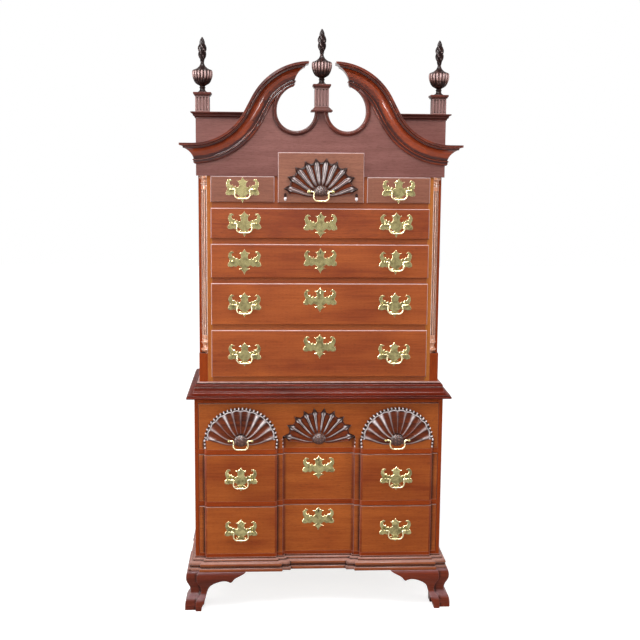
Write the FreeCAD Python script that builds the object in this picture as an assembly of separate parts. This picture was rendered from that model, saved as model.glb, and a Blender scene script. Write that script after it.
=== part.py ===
import FreeCAD, Part
import math
import os

# A tall two-section chest (highboy): block-front lower case on ogee bracket feet, upper case
# of lipped drawers between fluted quarter columns, scrolled open pediment with two see-through
# openings, flame finials, carved shells and brass bail pulls.
# Millimetres. X to the right, Y to the back, Z up. The origin is on the floor, under the
# middle of the whole chest. While the pieces are drawn, Y = 0 is the front face of the lower
# case; save() moves every piece to the common origin.

# ---------------------------------------------------------------- driving dimensions
CASE_DEPTH = 515.0          # lower case, front face to back face
LOWER_HALF = 461.0          # lower case, half width
LOWER_SIDE = 14.0           # lower side boards
UPPER_SETBACK = 18.5        # upper case stands in from the lower case, front and sides
UPPER_DEPTH = 485.0         # upper case, front face to back face
UPPER_SIDE = 16.0           # upper side boards
BOARD = 14.0                # tops, bottoms and backs of both cases
BACK_BOARDS = 4             # boards in each back

FOOT_HEIGHT = 147.0         # floor to the underside of the base moulding
FOOT_TOE = 39.0             # how far the feet stand out at the floor
FOOT_INNER = 8.0            # foot brackets behind the case face
FOOT_LONG = 189.0           # brackets, from the corner of the case to their tips
GLUE_BLOCK = 22.0           # width of the block inside each foot
BASE_MOULD_HEIGHT = 50.0
BOTTOM_RAIL = 12.0          # bottom rail that shows over the base moulding
BLADE = 18.0                # drawer blades of the lower case
BLADE_DEPTH = 60.0
LOWER_OPENINGS = [184.0, 181.0, 175.0]      # heights of the lower drawer openings, bottom up
TOP_GAP = 3.0               # shadow gap over a drawer front
SIDE_GAP = 1.2              # running gap at each side of a drawer
RUN_GAP = 0.3               # drawer over its runners, lip in front of its frame

BLOCK_RISE = 13.0           # how far the side blocks stand out
BLOCK_DIP = 12.0            # how far the middle is sunk
BLOCK_INSET = 40.5          # middle of a side block's outer shoulder, in from the side
BLOCK_INNER = 160.0         # middle of its inner shoulder
DIP_EDGE = 129.0            # middle of the shoulder of the sunk part
SHOULDER = 5.5              # half width of a rounded shoulder
FRONT_BACK = 30.0           # inner face of the lower drawer fronts, from the case face

WAIST_HEIGHT = 59.0         # moulding that hides the joint of the two cases
WAIST_LAP = 14.0            # how far it hangs down over the lower case
WAIST_REACH = 28.0

UPPER_BOTTOM_RAIL = 68.0    # front rail under the lowest upper drawer
LIP_HEIGHTS = [174.0, 152.0, 122.0, 109.0]  # full-width lipped fronts, bottom up
TOP_LIP_HEIGHT = 93.0       # small drawers of the top row
SHELL_LIP_HEIGHT = 179.0    # shell drawer in the middle of the top row
RAIL_SHOWING = 21.0         # rail that shows between two lipped fronts
LIP = 5.0                   # how far a lip laps over the frame
LIP_THICK = 8.0
LIP_ROUND = 4.5             # rounding of the lip's front edge
STILE_SHOWING = 14.0        # stile that shows between a front and its quarter column
SHELL_LIP_HALF = 155.0      # half width of the shell drawer's front
DIVIDER_SHOWING = 13.0      # upright that shows between two drawers of the top row
CORE_THICK = 16.0           # drawer front behind its lip
RAIL_DEPTH = 22.0           # front to back, rails and stiles of the upper case
COLUMN_RADIUS = 22.0        # quarter columns
COLUMN_PLINTH = 151.0       # their plain plinths
COLUMN_BASE = 52.0          # turned base over the plinth
COLUMN_CAP = 34.0           # turned capital
FLUTE_RADIUS = 2.6
COLUMN_FLUTES = 4

SIDE_STOCK = 12.0           # drawer sides and backs
BOTTOM_STOCK = 8.0          # drawer bottoms
BOTTOM_RAISE = 10.0         # drawer bottom over the lower edge of the sides
SIDE_DROP = 8.0             # drawer sides stop this far under the top of their opening
BACK_CLEAR = 14.0           # drawer back to case back
RUNNER_WIDE = 30.0
RUNNER_THICK = 18.0
GUIDE_RISE = 30.0           # guides beside the drawers, over their runners

BOARD_PROUD = 6.0           # pediment board in front of the upper case and over its sides
BOARD_THICK = 20.0
FRIEZE_SHOWING = 42.0       # pediment board under the cornice at the corners
CORNICE_HEIGHT = 72.5
CORNICE_REACH = 56.0
SCROLL_START = 11.5         # the scroll's lower bend starts this far outside the board
SCROLL_SLOPE = 62.0         # steepness of the straight between its two bends, degrees
SCROLL_RISE = 125.0         # centre of its upper bend over the foot of the cornice
SCROLL_MIDDLE = 42.0        # and from the middle of the chest
INNER_RADIUS = 161.0
SCROLL_END = 104.0          # face on which the scroll returns, from the middle
OCULUS_RISE = 187.0         # centre of each opening's round part over the cornice's foot
OCULUS_MIDDLE = 92.0        # and from the middle of the chest
OCULUS_RADIUS = 68.0
ARCH_RADIUS = 92.0          # upper outer part of each opening
RING_WIDE = 17.0            # moulding round the openings
RING_PROUD = 9.0
CAP_RISE = 161.0            # lower edge of the corner caps over the cornice's foot
CAP_HEIGHT = 22.0
CAP_REACH = 17.0
ATTIC_WIDE = 76.0           # corner blocks that carry the side finials
ATTIC_DEEP = 86.0

PLINTH_HALF = 25.0          # fluted plinths under the finials
PLINTH_INSET = 23.5         # side plinths, in from the ends of the pediment board
PLINTH_BEHIND = 33.5        # and back from its face
PLINTH_FLUTES = 4
SIDE_PLINTH_HIGH = 57.0
CENTRE_PLINTH_HIGH = 68.0
PLINTH_CAP = 12.0
PLINTH_CAP_REACH = 7.0
CENTRE_BASE = 16.0          # flared foot of the middle plinth
CENTRE_BASE_REACH = 13.0
FINIAL_HEIGHT = 194.0
FINIAL_RADIUS = 37.0

SHELL_RELIEF = 14.0         # convex shells in front of their drawer
SHELL_FOOT = 38.0           # foot of the lower shells over the foot of their drawer
SHELL_LAP = 4.75            # raised shells, past the middle of their block's shoulders
NICHE_LAP = 6.0             # niche of the sunk shell, past the middle of its shoulders
NICHE_ROOM = 4.0            # sunk shell inside its niche
UPPER_SHELL_HALF = 135.0
LOWER_SHELL_HIGH = 122.0
UPPER_SHELL_HIGH = 121.0
RAISED_LOBES = 11
POINTED_LOBES = 10
VALLEY = 0.85               # rim of a pointed shell between two lobes, as reach of the lobes
HUB_RADIUS = 22.0
BOSS_RADIUS = 8.0           # bosses in the lower shells, under the posts of their bails
SHELL_FOOT_RISE = 40.0      # hub of the upper shell over the foot of its drawer

POST_SPREAD = 86.0          # bore spacing of a bail pull
PLATE_THICK = 1.6
PLATE_TOP = 44.0            # plate over the line of its posts
STANDOFF = 16.0             # bail axis in front of its plate
PIN_RADIUS = 2.0
PIN_GAP = 0.1               # running gap of the bail's ends in their posts
HEAD_RADIUS = 5.2
BAIL_RADIUS = 2.7
BAIL_HALF = 29.5
BAIL_NECK = 25.0
BAIL_DROP = 33.0
SHANK_RADIUS = 2.2          # threaded post ends in the drawer front
SHANK_GAP = 0.2
NUT = 9.0
NUT_THICK = 3.0
ROSETTE_RADIUS = 6.5        # washers under the posts of the shell drawers
SHELL_POST_RISE = 8.0       # posts of the upper shell stand this much further out
PULL_INSET = 121.0          # pulls of the wide upper drawers, in from the fronts' ends
KEYHOLE_RISE = 30.0         # keyhole over the middle of its plate
KEY_RADIUS = 2.6
KEY_SLOT = 8.0
PLATE_DROP_UPPER = 13.0     # top of a keyhole plate under the top of its front
PLATE_DROP_LOWER = 8.0
LOCK_WIDE = 56.0
LOCK_THICK = 7.0
LOCK_HIGH = 38.0

V = FreeCAD.Vector

# ---------------------------------------------------------------- places that follow
SHIFT = (FOOT_TOE + BLOCK_RISE - CASE_DEPTH) / 2.0
UPPER_HALF = LOWER_HALF - UPPER_SETBACK
UPPER_FACE = UPPER_SETBACK
UPPER_BACK = UPPER_FACE + UPPER_DEPTH
UPPER_INNER = UPPER_HALF - UPPER_SIDE
COLUMN_X = UPPER_HALF - 1.43 * COLUMN_RADIUS
LIP_HALF = COLUMN_X - STILE_SHOWING
PULL_X = LIP_HALF - PULL_INSET
BLOCK_OUTER = LOWER_HALF - BLOCK_INSET
SIDE_SHELL_HALF = (BLOCK_OUTER - BLOCK_INNER) / 2.0 + SHELL_LAP
NICHE_HALF = DIP_EDGE + NICHE_LAP
LOWER_INNER = LOWER_HALF - LOWER_SIDE
LOWER_BACK_FACE = CASE_DEPTH - BOARD
UPPER_BACK_FACE = UPPER_BACK - BOARD
BASE_TOP = FOOT_HEIGHT + BASE_MOULD_HEIGHT

LOWER_FLOORS = []
level = BASE_TOP + BOTTOM_RAIL
for height in LOWER_OPENINGS:
    LOWER_FLOORS.append(level)
    level += height + BLADE
LOWER_TOP = level + BOARD
UPPER_BOTTOM = LOWER_TOP
WAIST_BOTTOM = LOWER_TOP - WAIST_LAP
WAIST_TOP = WAIST_BOTTOM + WAIST_HEIGHT

LIP_LOWS = []
level = UPPER_BOTTOM + UPPER_BOTTOM_RAIL - LIP
for height in LIP_HEIGHTS:
    LIP_LOWS.append(level)
    level += height + RAIL_SHOWING
TOP_ROW = level
BOARD_BOTTOM = TOP_ROW + TOP_LIP_HEIGHT + 1.0
SHELL_TOP = TOP_ROW + SHELL_LIP_HEIGHT
OPEN_HALF = LIP_HALF - LIP
SHELL_OPEN_HALF = SHELL_LIP_HALF - LIP
SMALL_OPEN_INNER = SHELL_LIP_HALF + DIVIDER_SHOWING + LIP
RAIL_BACK = UPPER_FACE + RAIL_DEPTH
POST_BACK = RAIL_BACK + RAIL_DEPTH
LIP_FACE = UPPER_FACE - RUN_GAP - LIP_THICK
CORE_BACK = LIP_FACE + LIP_THICK + CORE_THICK
BOARD_FACE = UPPER_FACE - BOARD_PROUD
BOARD_BACK = BOARD_FACE + BOARD_THICK
BOARD_HALF = UPPER_HALF + BOARD_PROUD
SHELL_FACE = BOARD_FACE - RUN_GAP - LIP_THICK
CORNICE_LOW = BOARD_BOTTOM + FRIEZE_SHOWING
CASE_TOP = CORNICE_LOW + CORNICE_HEIGHT
CAP_LOW = CORNICE_LOW + CAP_RISE
CAP_TOP = CAP_LOW + CAP_HEIGHT
INNER_CENTRE = (SCROLL_MIDDLE, CORNICE_LOW + SCROLL_RISE)
OCULUS = (OCULUS_MIDDLE, CORNICE_LOW + OCULUS_RISE)
STEM_TOP = OCULUS[1]
STEM_HALF = OCULUS[0] - OCULUS_RADIUS
BLOCK_MIDDLE = (BLOCK_OUTER + BLOCK_INNER) / 2.0


# ---------------------------------------------------------------- drawing helpers
def box(x0, x1, y0, y1, z0, z1):
    return Part.makeBox(x1 - x0, y1 - y0, z1 - z0, V(x0, y0, z0))


def mirrored(shape):
    return shape.mirror(V(0, 0, 0), V(1, 0, 0))


def both(solids):
    return list(solids) + [mirrored(solid) for solid in solids]


def edges_of(start, steps, place):
    """Each step is one point (line), two (arc through the first) or more (smooth curve)."""
    edges = []
    last = start
    for step in steps:
        points = [place(*point) for point in [last] + list(step)]
        if len(step) == 1:
            edges.append(Part.LineSegment(*points).toShape())
        elif len(step) == 2:
            edges.append(Part.Arc(*points).toShape())
        else:
            curve = Part.BSplineCurve()
            curve.interpolate(points)
            edges.append(curve.toShape())
        last = step[-1]
    return edges


def face_of(start, steps, place):
    return Part.Face(Part.Wire(edges_of(start, steps, place)))


def mirror_steps(start, steps):
    """The same steps on the other side of the middle, walked backwards."""
    ends = [start] + [step[-1] for step in steps]
    back = []
    for index in reversed(range(len(steps))):
        points = list(steps[index][:-1])[::-1] + [ends[index]]
        back.append([(-x, other) for x, other in points])
    return back


def lines(points):
    return [[point] for point in points]


def slab(start, steps, z0, z1):
    """Upright prism over an outline in plan."""
    return face_of(start, steps, lambda x, y: V(x, y, z0)).extrude(V(0, 0, z1 - z0))


def panel(start, steps, y0, y1):
    """Prism over an outline seen from the front."""
    return face_of(start, steps, lambda x, z: V(x, y0, z)).extrude(V(0, y1 - y0, 0))


def turned(start, steps, x, y, z, first=0.0, angle=360.0):
    """Turned piece about an upright axis, from an outline in radius and height."""
    face = face_of(start, steps, lambda r, h: V(x + r, y, z + h))
    face.rotate(V(x, y, z), V(0, 0, 1), first)
    return face.revolve(V(x, y, z), V(0, 0, 1), angle)


def moulding(path, start, steps, z):
    """Level moulding with mitred corners; its outline is in reach and height."""
    points = [V(x, y, z) for x, y in path]
    run = points[1].sub(points[0]).normalize()
    side = V(run.y, -run.x, 0)
    face = face_of(start, steps, lambda p, h: points[0] + side * p + V(0, 0, h))
    return Part.makePolygon(points).makePipeShell([face.OuterWire], True, False, 1)


def save(name, solids):
    moved = [solid.translated(V(0, SHIFT, 0)) for solid in solids]
    Part.makeCompound(moved).exportStep("parts/%s.step" % name)


# ---------------------------------------------------------------- block front
def rounded(flat, face):
    """Shoulder from a point on the flat to one on the raised or sunk face."""
    part = math.sqrt(0.5)
    middle = (face[0] + part * (flat[0] - face[0]), flat[1] + part * (face[1] - flat[1]))
    return middle


def block_outline():
    """Right half of the block front, from the side to the middle, as steps from its corner."""
    outer_flat = (BLOCK_OUTER + SHOULDER, 0)
    outer_face = (BLOCK_OUTER - SHOULDER, -BLOCK_RISE)
    inner_face = (BLOCK_INNER + SHOULDER, -BLOCK_RISE)
    inner_flat = (BLOCK_INNER - SHOULDER, 0)
    dip_flat = (DIP_EDGE + SHOULDER, 0)
    dip_face = (DIP_EDGE - SHOULDER, BLOCK_DIP)
    return [
        [outer_flat],
        [rounded(outer_flat, outer_face), outer_face],
        [inner_face],
        [rounded(inner_flat, inner_face), inner_flat],
        [dip_flat],
        [rounded(dip_flat, dip_face), dip_face],
    ]


def block_slab(half, back, z0, z1):
    """Slab with the whole block front."""
    corner = (half, 0)
    right = block_outline()
    steps = [[corner]] + right + [[(-right[-1][-1][0], BLOCK_DIP)]]
    steps += mirror_steps(corner, right) + [[(-half, back)], [(half, back)]]
    return slab((half, back), steps, z0, z1)


def square_block_path(y_back):
    """Plan of the case front with square steps, from the back left corner round."""
    right = [(LOWER_HALF, y_back), (LOWER_HALF, 0), (BLOCK_OUTER, 0),
             (BLOCK_OUTER, -BLOCK_RISE), (BLOCK_INNER, -BLOCK_RISE), (BLOCK_INNER, 0),
             (DIP_EDGE, 0), (DIP_EDGE, BLOCK_DIP)]
    return [(-x, y) for x, y in right] + right[::-1]


# ---------------------------------------------------------------- lower case
def back_boards(half, y0, z0, z1):
    high = (z1 - z0) / BACK_BOARDS
    return [box(-half, half, y0, y0 + BOARD, z0 + high * i, z0 + high * (i + 1))
            for i in range(BACK_BOARDS)]


def lower_carcase():
    top_under = LOWER_TOP - BOARD
    side = box(LOWER_INNER, LOWER_HALF, 0, CASE_DEPTH, FOOT_HEIGHT, top_under)
    bottom = box(-LOWER_INNER, LOWER_INNER, FRONT_BACK, LOWER_BACK_FACE,
                 BASE_TOP - BOARD, BASE_TOP)
    top = box(-LOWER_HALF, LOWER_HALF, 0, CASE_DEPTH, top_under, LOWER_TOP)
    backs = back_boards(LOWER_INNER, LOWER_BACK_FACE, FOOT_HEIGHT, top_under)
    save("lower_carcase", both([side]) + [bottom, top] + backs)


def lower_drawer_frame():
    """Blocked rails and blades with the runners behind them."""
    path = square_block_path(FRONT_BACK)[1:-1]
    inner = [(-LOWER_INNER, 0)] + path[1:-1] + [(LOWER_INNER, 0)]
    steps = lines(inner[1:] + [(LOWER_INNER, FRONT_BACK), (-LOWER_INNER, FRONT_BACK), inner[0]])
    pieces = [slab(inner[0], steps, FOOT_HEIGHT, BASE_TOP),
              block_slab(LOWER_INNER, FRONT_BACK, BASE_TOP, LOWER_FLOORS[0])]
    for floor in LOWER_FLOORS[1:]:
        pieces.append(block_slab(LOWER_INNER, BLADE_DEPTH, floor - BLADE, floor))
    top_rail = LOWER_TOP - BOARD - BLADE
    pieces.append(box(-LOWER_INNER, LOWER_INNER, 0, FRONT_BACK, top_rail, top_rail + BLADE))
    runner_x = LOWER_INNER - RUNNER_WIDE
    runners = [box(runner_x, LOWER_INNER, FRONT_BACK, LOWER_BACK_FACE,
                   BASE_TOP, LOWER_FLOORS[0])]
    for floor in LOWER_FLOORS[1:]:
        runners.append(box(runner_x, LOWER_INNER, BLADE_DEPTH, LOWER_BACK_FACE,
                           floor - RUNNER_THICK, floor))
    runners.append(box(runner_x, LOWER_INNER, FRONT_BACK, LOWER_BACK_FACE,
                       top_rail, top_rail + BLADE))
    save("lower_drawer_frame", pieces + both(runners))


def base_moulding():
    """Bead, torus, fillet and fascia, stepped round the blocks."""
    steps = [[(24, 0)], [(25.5, 4), (24, 13)], [(19.5, 14.5)], [(19.5, 18.5)],
             [(22.5, 27), (16, 35)], [(10, 37)], [(9, 42), (6, 45)], [(2, 46)],
             [(2, BASE_MOULD_HEIGHT)], [(0, BASE_MOULD_HEIGHT)], [(0, 0)]]
    save("base_moulding", [moulding(square_block_path(CASE_DEPTH), (0, 0), steps, FOOT_HEIGHT)])


def foot_outline():
    """Ogee section of the feet, in reach and height."""
    curve = [(FOOT_TOE, 16), (FOOT_TOE - 1, 26), (FOOT_TOE - 6, 44), (FOOT_TOE - 18, 60),
             (FOOT_TOE - 20, 72), (FOOT_TOE - 18, 84), (FOOT_TOE - 11, 100), (FOOT_TOE - 5, 118),
             (FOOT_TOE - 5, 132), (FOOT_TOE - 9, FOOT_HEIGHT)]
    return [[(FOOT_TOE, 0)], [curve[0]], curve[1:], [(-FOOT_INNER, FOOT_HEIGHT)],
            [(-FOOT_INNER, 0)]]


def bracket_steps():
    """Sawn silhouette of a bracket, by distance from the corner of the case and height."""
    out = -2.0 * FOOT_TOE
    tip = FOOT_LONG
    return (out, 0), [
        [(23, 0)], [(23, 12)],
        [(34, 35), (41, 57), (53, 88), (73, 104), (93, 112), (112, 114), (130, 107)],
        [(137, 110), (143, 118), (160, 130), (tip, FOOT_HEIGHT)],
        [(out, FOOT_HEIGHT)], [(out, 0)]]


def bracket_feet():
    """Four blocked ogee feet: a front and a side bracket mitred together in front, a side
    bracket and a plain bracket behind, each with its glue block."""
    far = 2.0 * FOOT_TOE
    path = [(LOWER_HALF - FOOT_LONG, -BLOCK_RISE), (BLOCK_OUTER, -BLOCK_RISE), (BLOCK_OUTER, 0),
            (LOWER_HALF, 0), (LOWER_HALF, FOOT_LONG)]
    ogee = moulding(path, (-FOOT_INNER, 0), foot_outline(), 0)
    start, steps = bracket_steps()
    front_cut = face_of(start, steps, lambda s, z: V(LOWER_HALF - s, -far, z))
    front_cut = front_cut.extrude(V(0, far + CASE_DEPTH, 0))
    side_cut = face_of(start, steps, lambda s, z: V(0, s, z)).extrude(V(2 * LOWER_HALF, 0, 0))
    reach = LOWER_HALF + far
    mitre = slab((LOWER_HALF - far, far), lines([(reach, -far), (0, -far), (0, far),
                                                (LOWER_HALF - far, far)]), 0, FOOT_HEIGHT)
    front = ogee.common(front_cut).common(mitre)
    side = ogee.common(side_cut).cut(mitre)
    inner = LOWER_HALF - FOOT_INNER
    rear = ogee.common(side_cut).mirror(V(0, CASE_DEPTH / 2.0, 0), V(0, 1, 0))
    rear = rear.common(box(inner, reach, 0, CASE_DEPTH, 0, FOOT_HEIGHT))
    plain = front_cut.common(box(0, inner, CASE_DEPTH - BOARD, CASE_DEPTH, 0, FOOT_HEIGHT))
    blocks = [box(inner - GLUE_BLOCK, inner, y, y + 2 * GLUE_BLOCK, 0, FOOT_HEIGHT)
              for y in (FOOT_INNER, CASE_DEPTH - BOARD - 2 * GLUE_BLOCK)]
    save("bracket_feet", both(front.Solids + side.Solids + rear.Solids + plain.Solids + blocks))


def waist_moulding():
    """Cove moulding on the lower case, in which the upper case stands."""
    top = WAIST_HEIGHT
    reach = WAIST_REACH
    steps = [[(reach - 3, 0)], [(reach, 3), (reach - 1, 8)], [(reach - 4, 9)],
             [(reach - 4, 13)], [(8, 17), (1, 37)], [(-2, 38)], [(-2, 42)],
             [(-3, 50), (-9, 52)], [(-9, 54)], [(-10.5, 58), (-14, top)],
             [(-UPPER_SETBACK, top)], [(-UPPER_SETBACK, WAIST_LAP)], [(0, WAIST_LAP)], [(0, 0)]]
    path = [(-LOWER_HALF, CASE_DEPTH), (-LOWER_HALF, 0), (LOWER_HALF, 0),
            (LOWER_HALF, CASE_DEPTH)]
    save("waist_moulding", [moulding(path, (0, 0), steps, WAIST_BOTTOM)])


# ---------------------------------------------------------------- upper case
def upper_carcase():
    top_under = CASE_TOP - BOARD
    outline = lines([(UPPER_BACK, UPPER_BOTTOM), (UPPER_BACK, top_under),
                     (BOARD_BACK, top_under), (BOARD_BACK, BOARD_BOTTOM),
                     (RAIL_BACK, BOARD_BOTTOM), (RAIL_BACK, UPPER_BOTTOM)])
    side = face_of((RAIL_BACK, UPPER_BOTTOM), outline, lambda y, z: V(UPPER_INNER, y, z))
    side = side.extrude(V(UPPER_SIDE, 0, 0))
    bottom = box(-UPPER_INNER, UPPER_INNER, POST_BACK, UPPER_BACK_FACE,
                 UPPER_BOTTOM, UPPER_BOTTOM + BOARD)
    top = box(-UPPER_HALF, UPPER_HALF, BOARD_BACK, UPPER_BACK, top_under, CASE_TOP)
    backs = back_boards(UPPER_INNER, UPPER_BACK_FACE, UPPER_BOTTOM, top_under)
    save("upper_carcase", both([side]) + [bottom, top] + backs)


def upper_drawer_frame():
    """Stiles, rails, uprights and a dust board, with the runners and guides behind them."""
    top_under = CASE_TOP - BOARD
    plan_points = [(COLUMN_X, UPPER_FACE), (COLUMN_X, RAIL_BACK), (UPPER_INNER, RAIL_BACK),
                   (UPPER_INNER, POST_BACK), (OPEN_HALF, POST_BACK), (OPEN_HALF, UPPER_FACE)]
    sides = [slab((OPEN_HALF, UPPER_FACE), lines(plan_points), UPPER_BOTTOM, BOARD_BOTTOM),
             box(OPEN_HALF, UPPER_INNER, BOARD_BACK, POST_BACK, BOARD_BOTTOM, top_under)]
    middle = [box(-OPEN_HALF, OPEN_HALF, UPPER_FACE, RAIL_BACK,
                  UPPER_BOTTOM, LIP_LOWS[0] + LIP)]
    floors = [low + LIP for low in LIP_LOWS]
    top_floor = TOP_ROW + LIP
    rail = RAIL_SHOWING + 2 * LIP
    for floor in floors[1:] + [top_floor]:
        middle.append(box(-OPEN_HALF, OPEN_HALF, UPPER_FACE, RAIL_BACK, floor - rail, floor))
    for floor in floors:
        sides.append(box(OPEN_HALF - RUNNER_WIDE, OPEN_HALF, RAIL_BACK, UPPER_BACK_FACE,
                         floor - RUNNER_THICK, floor))
    for floor in floors + [top_floor]:
        sides.append(box(OPEN_HALF, UPPER_INNER, POST_BACK, UPPER_BACK_FACE,
                         floor - RUNNER_THICK, floor + GUIDE_RISE))
    middle.append(box(-OPEN_HALF, OPEN_HALF, RAIL_BACK, UPPER_BACK_FACE,
                      top_floor - RUNNER_THICK, top_floor))
    sides.append(box(SHELL_OPEN_HALF, SMALL_OPEN_INNER, UPPER_FACE, RAIL_BACK,
                     top_floor, BOARD_BOTTOM))
    sides.append(box(SHELL_OPEN_HALF, SMALL_OPEN_INNER, BOARD_BACK, RAIL_BACK,
                     BOARD_BOTTOM, top_under))
    sides.append(box(SHELL_OPEN_HALF, SMALL_OPEN_INNER, RAIL_BACK, UPPER_BACK_FACE,
                     top_floor, top_under))
    sides.append(box(SMALL_OPEN_INNER, OPEN_HALF, UPPER_FACE, POST_BACK,
                     TOP_ROW + TOP_LIP_HEIGHT - LIP, BOARD_BOTTOM))
    sides.append(box(SMALL_OPEN_INNER, OPEN_HALF, BOARD_BACK, POST_BACK,
                     BOARD_BOTTOM, BOARD_BOTTOM + RAIL_DEPTH))
    middle.append(box(-SHELL_OPEN_HALF, SHELL_OPEN_HALF, BOARD_BACK, POST_BACK,
                      SHELL_TOP - LIP, top_under))
    save("upper_drawer_frame", middle + both(sides))


def quarter_columns():
    """Plain plinth, turned base, fluted shaft and capital in each front corner."""
    radius = COLUMN_RADIUS
    x, y = COLUMN_X, RAIL_BACK
    foot = UPPER_BOTTOM
    shaft_low = foot + COLUMN_PLINTH + COLUMN_BASE
    shaft_top = BOARD_BOTTOM - COLUMN_CAP
    plinth = box(x, UPPER_HALF, UPPER_FACE, y, foot, foot + COLUMN_PLINTH)
    base = turned((0, 0), [[(radius, 0)], [(radius, 8)], [(radius + 3, 12), (radius, 16)],
                           [(radius - 3, 26), (radius, 36)], [(radius + 2, 40), (radius, 44)],
                           [(radius, COLUMN_BASE)], [(0, COLUMN_BASE)], [(0, 0)]],
                  x, y, foot + COLUMN_PLINTH, -90.0, 90.0)
    shaft = turned((0, 0), [[(radius, 0)], [(radius, shaft_top - shaft_low)],
                            [(0, shaft_top - shaft_low)], [(0, 0)]], x, y, shaft_low, -90.0, 90.0)
    margin = 16.0
    for index in range(COLUMN_FLUTES):
        turn = math.radians(-90.0 + 90.0 * (index + 0.5) / COLUMN_FLUTES)
        out = radius + 0.2 * FLUTE_RADIUS
        centre = V(x + out * math.cos(turn), y + out * math.sin(turn), shaft_low + margin)
        flute = Part.makeCylinder(FLUTE_RADIUS, shaft_top - shaft_low - 2 * margin, centre)
        shaft = shaft.cut(flute)
    high = COLUMN_CAP
    capital = turned((0, 0), [[(radius, 0)], [(radius, 4)], [(radius + 2.5, 6), (radius, 8)],
                              [(radius, 18)], [(radius + 2, 22), (radius + 6, 25)],
                              [(radius + 6, high)], [(0, high)], [(0, 0)]],
                     x, y, shaft_top, -90.0, 90.0)
    save("quarter_columns", both([plinth, base, shaft, capital]))


# ---------------------------------------------------------------- pediment
def scroll_frame():
    """Centre and radius of the lower bend, which runs into the straight between the bends,
    and the direction in which the straight lies from it."""
    turn = math.radians(-90.0 - SCROLL_SLOPE)
    x = BOARD_HALF + SCROLL_START
    radius = (INNER_CENTRE[0] - x) * math.cos(turn) + SCROLL_RISE * math.sin(turn)
    radius = (radius - INNER_RADIUS) / (1.0 + math.sin(turn))
    return (x, CORNICE_LOW + radius), radius, turn


def round_point(centre, radius, turn):
    return (centre[0] + radius * math.cos(turn), centre[1] + radius * math.sin(turn))


def scroll_line(rise):
    """Line of the scroll at a height over its lower edge, from the outer bend's foot up."""
    outer, radius, turn = scroll_frame()
    big = radius - rise
    small = INNER_RADIUS + rise
    foot = -math.pi / 2.0
    start = round_point(outer, big, foot)
    up = turn + math.pi
    return start, [
        [round_point(outer, big, (foot + turn) / 2.0), round_point(outer, big, turn)],
        [round_point(INNER_CENTRE, small, up)],
        [round_point(INNER_CENTRE, small, (up + math.pi / 2.0) / 2.0),
         round_point(INNER_CENTRE, small, math.pi / 2.0)],
    ]


def followed(outline, at, out, moves):
    """Moulding on the face of the pediment board. Its outline is in reach and in distance
    along `out`. A move is a point to run to, or a centre and the angle to turn about it."""
    pieces = []
    for move in moves:
        section = face_of((0, 0), outline, lambda p, h: V(at[0] + h * out[0], BOARD_FACE - p,
                                                          at[1] + h * out[1]))
        if len(move) == 2:
            pieces.append(section.extrude(V(move[0] - at[0], 0, move[1] - at[1])))
            at = move
        else:
            x, z, angle = move
            pieces.append(section.revolve(V(x, 0, z), V(0, 1, 0), -angle))
            cos, sin = math.cos(math.radians(angle)), math.sin(math.radians(angle))
            dx, dz = at[0] - x, at[1] - z
            at = (x + cos * dx - sin * dz, z + sin * dx + cos * dz)
            out = (cos * out[0] - sin * out[1], sin * out[0] + cos * out[1])
    return pieces[0].fuse(pieces[1:]).removeSplitter()


def cornice_outline():
    """Section of the cornice: low ovolo, bead, wide cove, fillet, small ogee and top fillet."""
    reach, high = CORNICE_REACH, CORNICE_HEIGHT
    return [[(3, 0)], [(7.5, 3.5), (8.5, 9)], [(8.5, 12)], [(11.5, 14.5), (8.5, 17)],
            [(7.5, 18)], [(18.5, 39.5), (40, 55)], [(43, 55)], [(43, 58)],
            [(45.5, 61.5), (51, 63)], [(53, 64.5)], [(reach, 64.5)], [(reach, high)],
            [(0, high)], [(0, 0)]]


def cornice_pieces():
    """One side: scroll along the front, its return at the top and the run along the side."""
    far = 2.0 * CORNICE_REACH
    outer, radius, turn = scroll_frame()
    start, line = scroll_line(0)
    bend = 90.0 + math.degrees(turn)
    sweep = followed(cornice_outline(), (BOARD_HALF + far, CORNICE_LOW), (0, 1),
                     [start, outer + (bend,), line[1][-1], INNER_CENTRE + (-bend,),
                      (SCROLL_END - far, line[-1][-1][1])])
    low, high = CORNICE_LOW - far, INNER_CENTRE[1] + INNER_RADIUS + far
    front_room = slab((BOARD_HALF, BOARD_FACE),
                      lines([(BOARD_HALF + far, BOARD_FACE - far),
                             (SCROLL_END - far, BOARD_FACE - far), (SCROLL_END, BOARD_FACE),
                             (BOARD_HALF, BOARD_FACE)]), low, high)
    scroll = sweep.common(front_room)
    corners = [V(SCROLL_END + 5, BOARD_FACE + 5, low), V(SCROLL_END - far, BOARD_FACE - far, low),
               V(SCROLL_END - far, BOARD_FACE - far, high), V(SCROLL_END + 5, BOARD_FACE + 5, high)]
    mitre_plane = Part.Face(Part.makePolygon(corners + corners[:1]))
    end_face = mitre_plane.common(sweep)
    inner = end_face.Faces[0].extrude(V(0, far + BOARD_THICK, 0))
    inner = inner.common(box(SCROLL_END - far, SCROLL_END, BOARD_FACE - far, BOARD_BACK,
                             low, high))
    section = face_of((0, 0), cornice_outline(),
                      lambda p, h: V(BOARD_HALF + p, BOARD_FACE - far, CORNICE_LOW + h))
    side = section.extrude(V(0, far + UPPER_BACK - BOARD_FACE, 0))
    side_room = slab((BOARD_HALF, BOARD_FACE),
                     lines([(BOARD_HALF + far, BOARD_FACE - far), (BOARD_HALF + far, UPPER_BACK),
                            (BOARD_HALF, UPPER_BACK), (BOARD_HALF, BOARD_FACE)]), low, high)
    side = side.common(side_room)
    return scroll.Solids + inner.Solids + side.Solids


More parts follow.
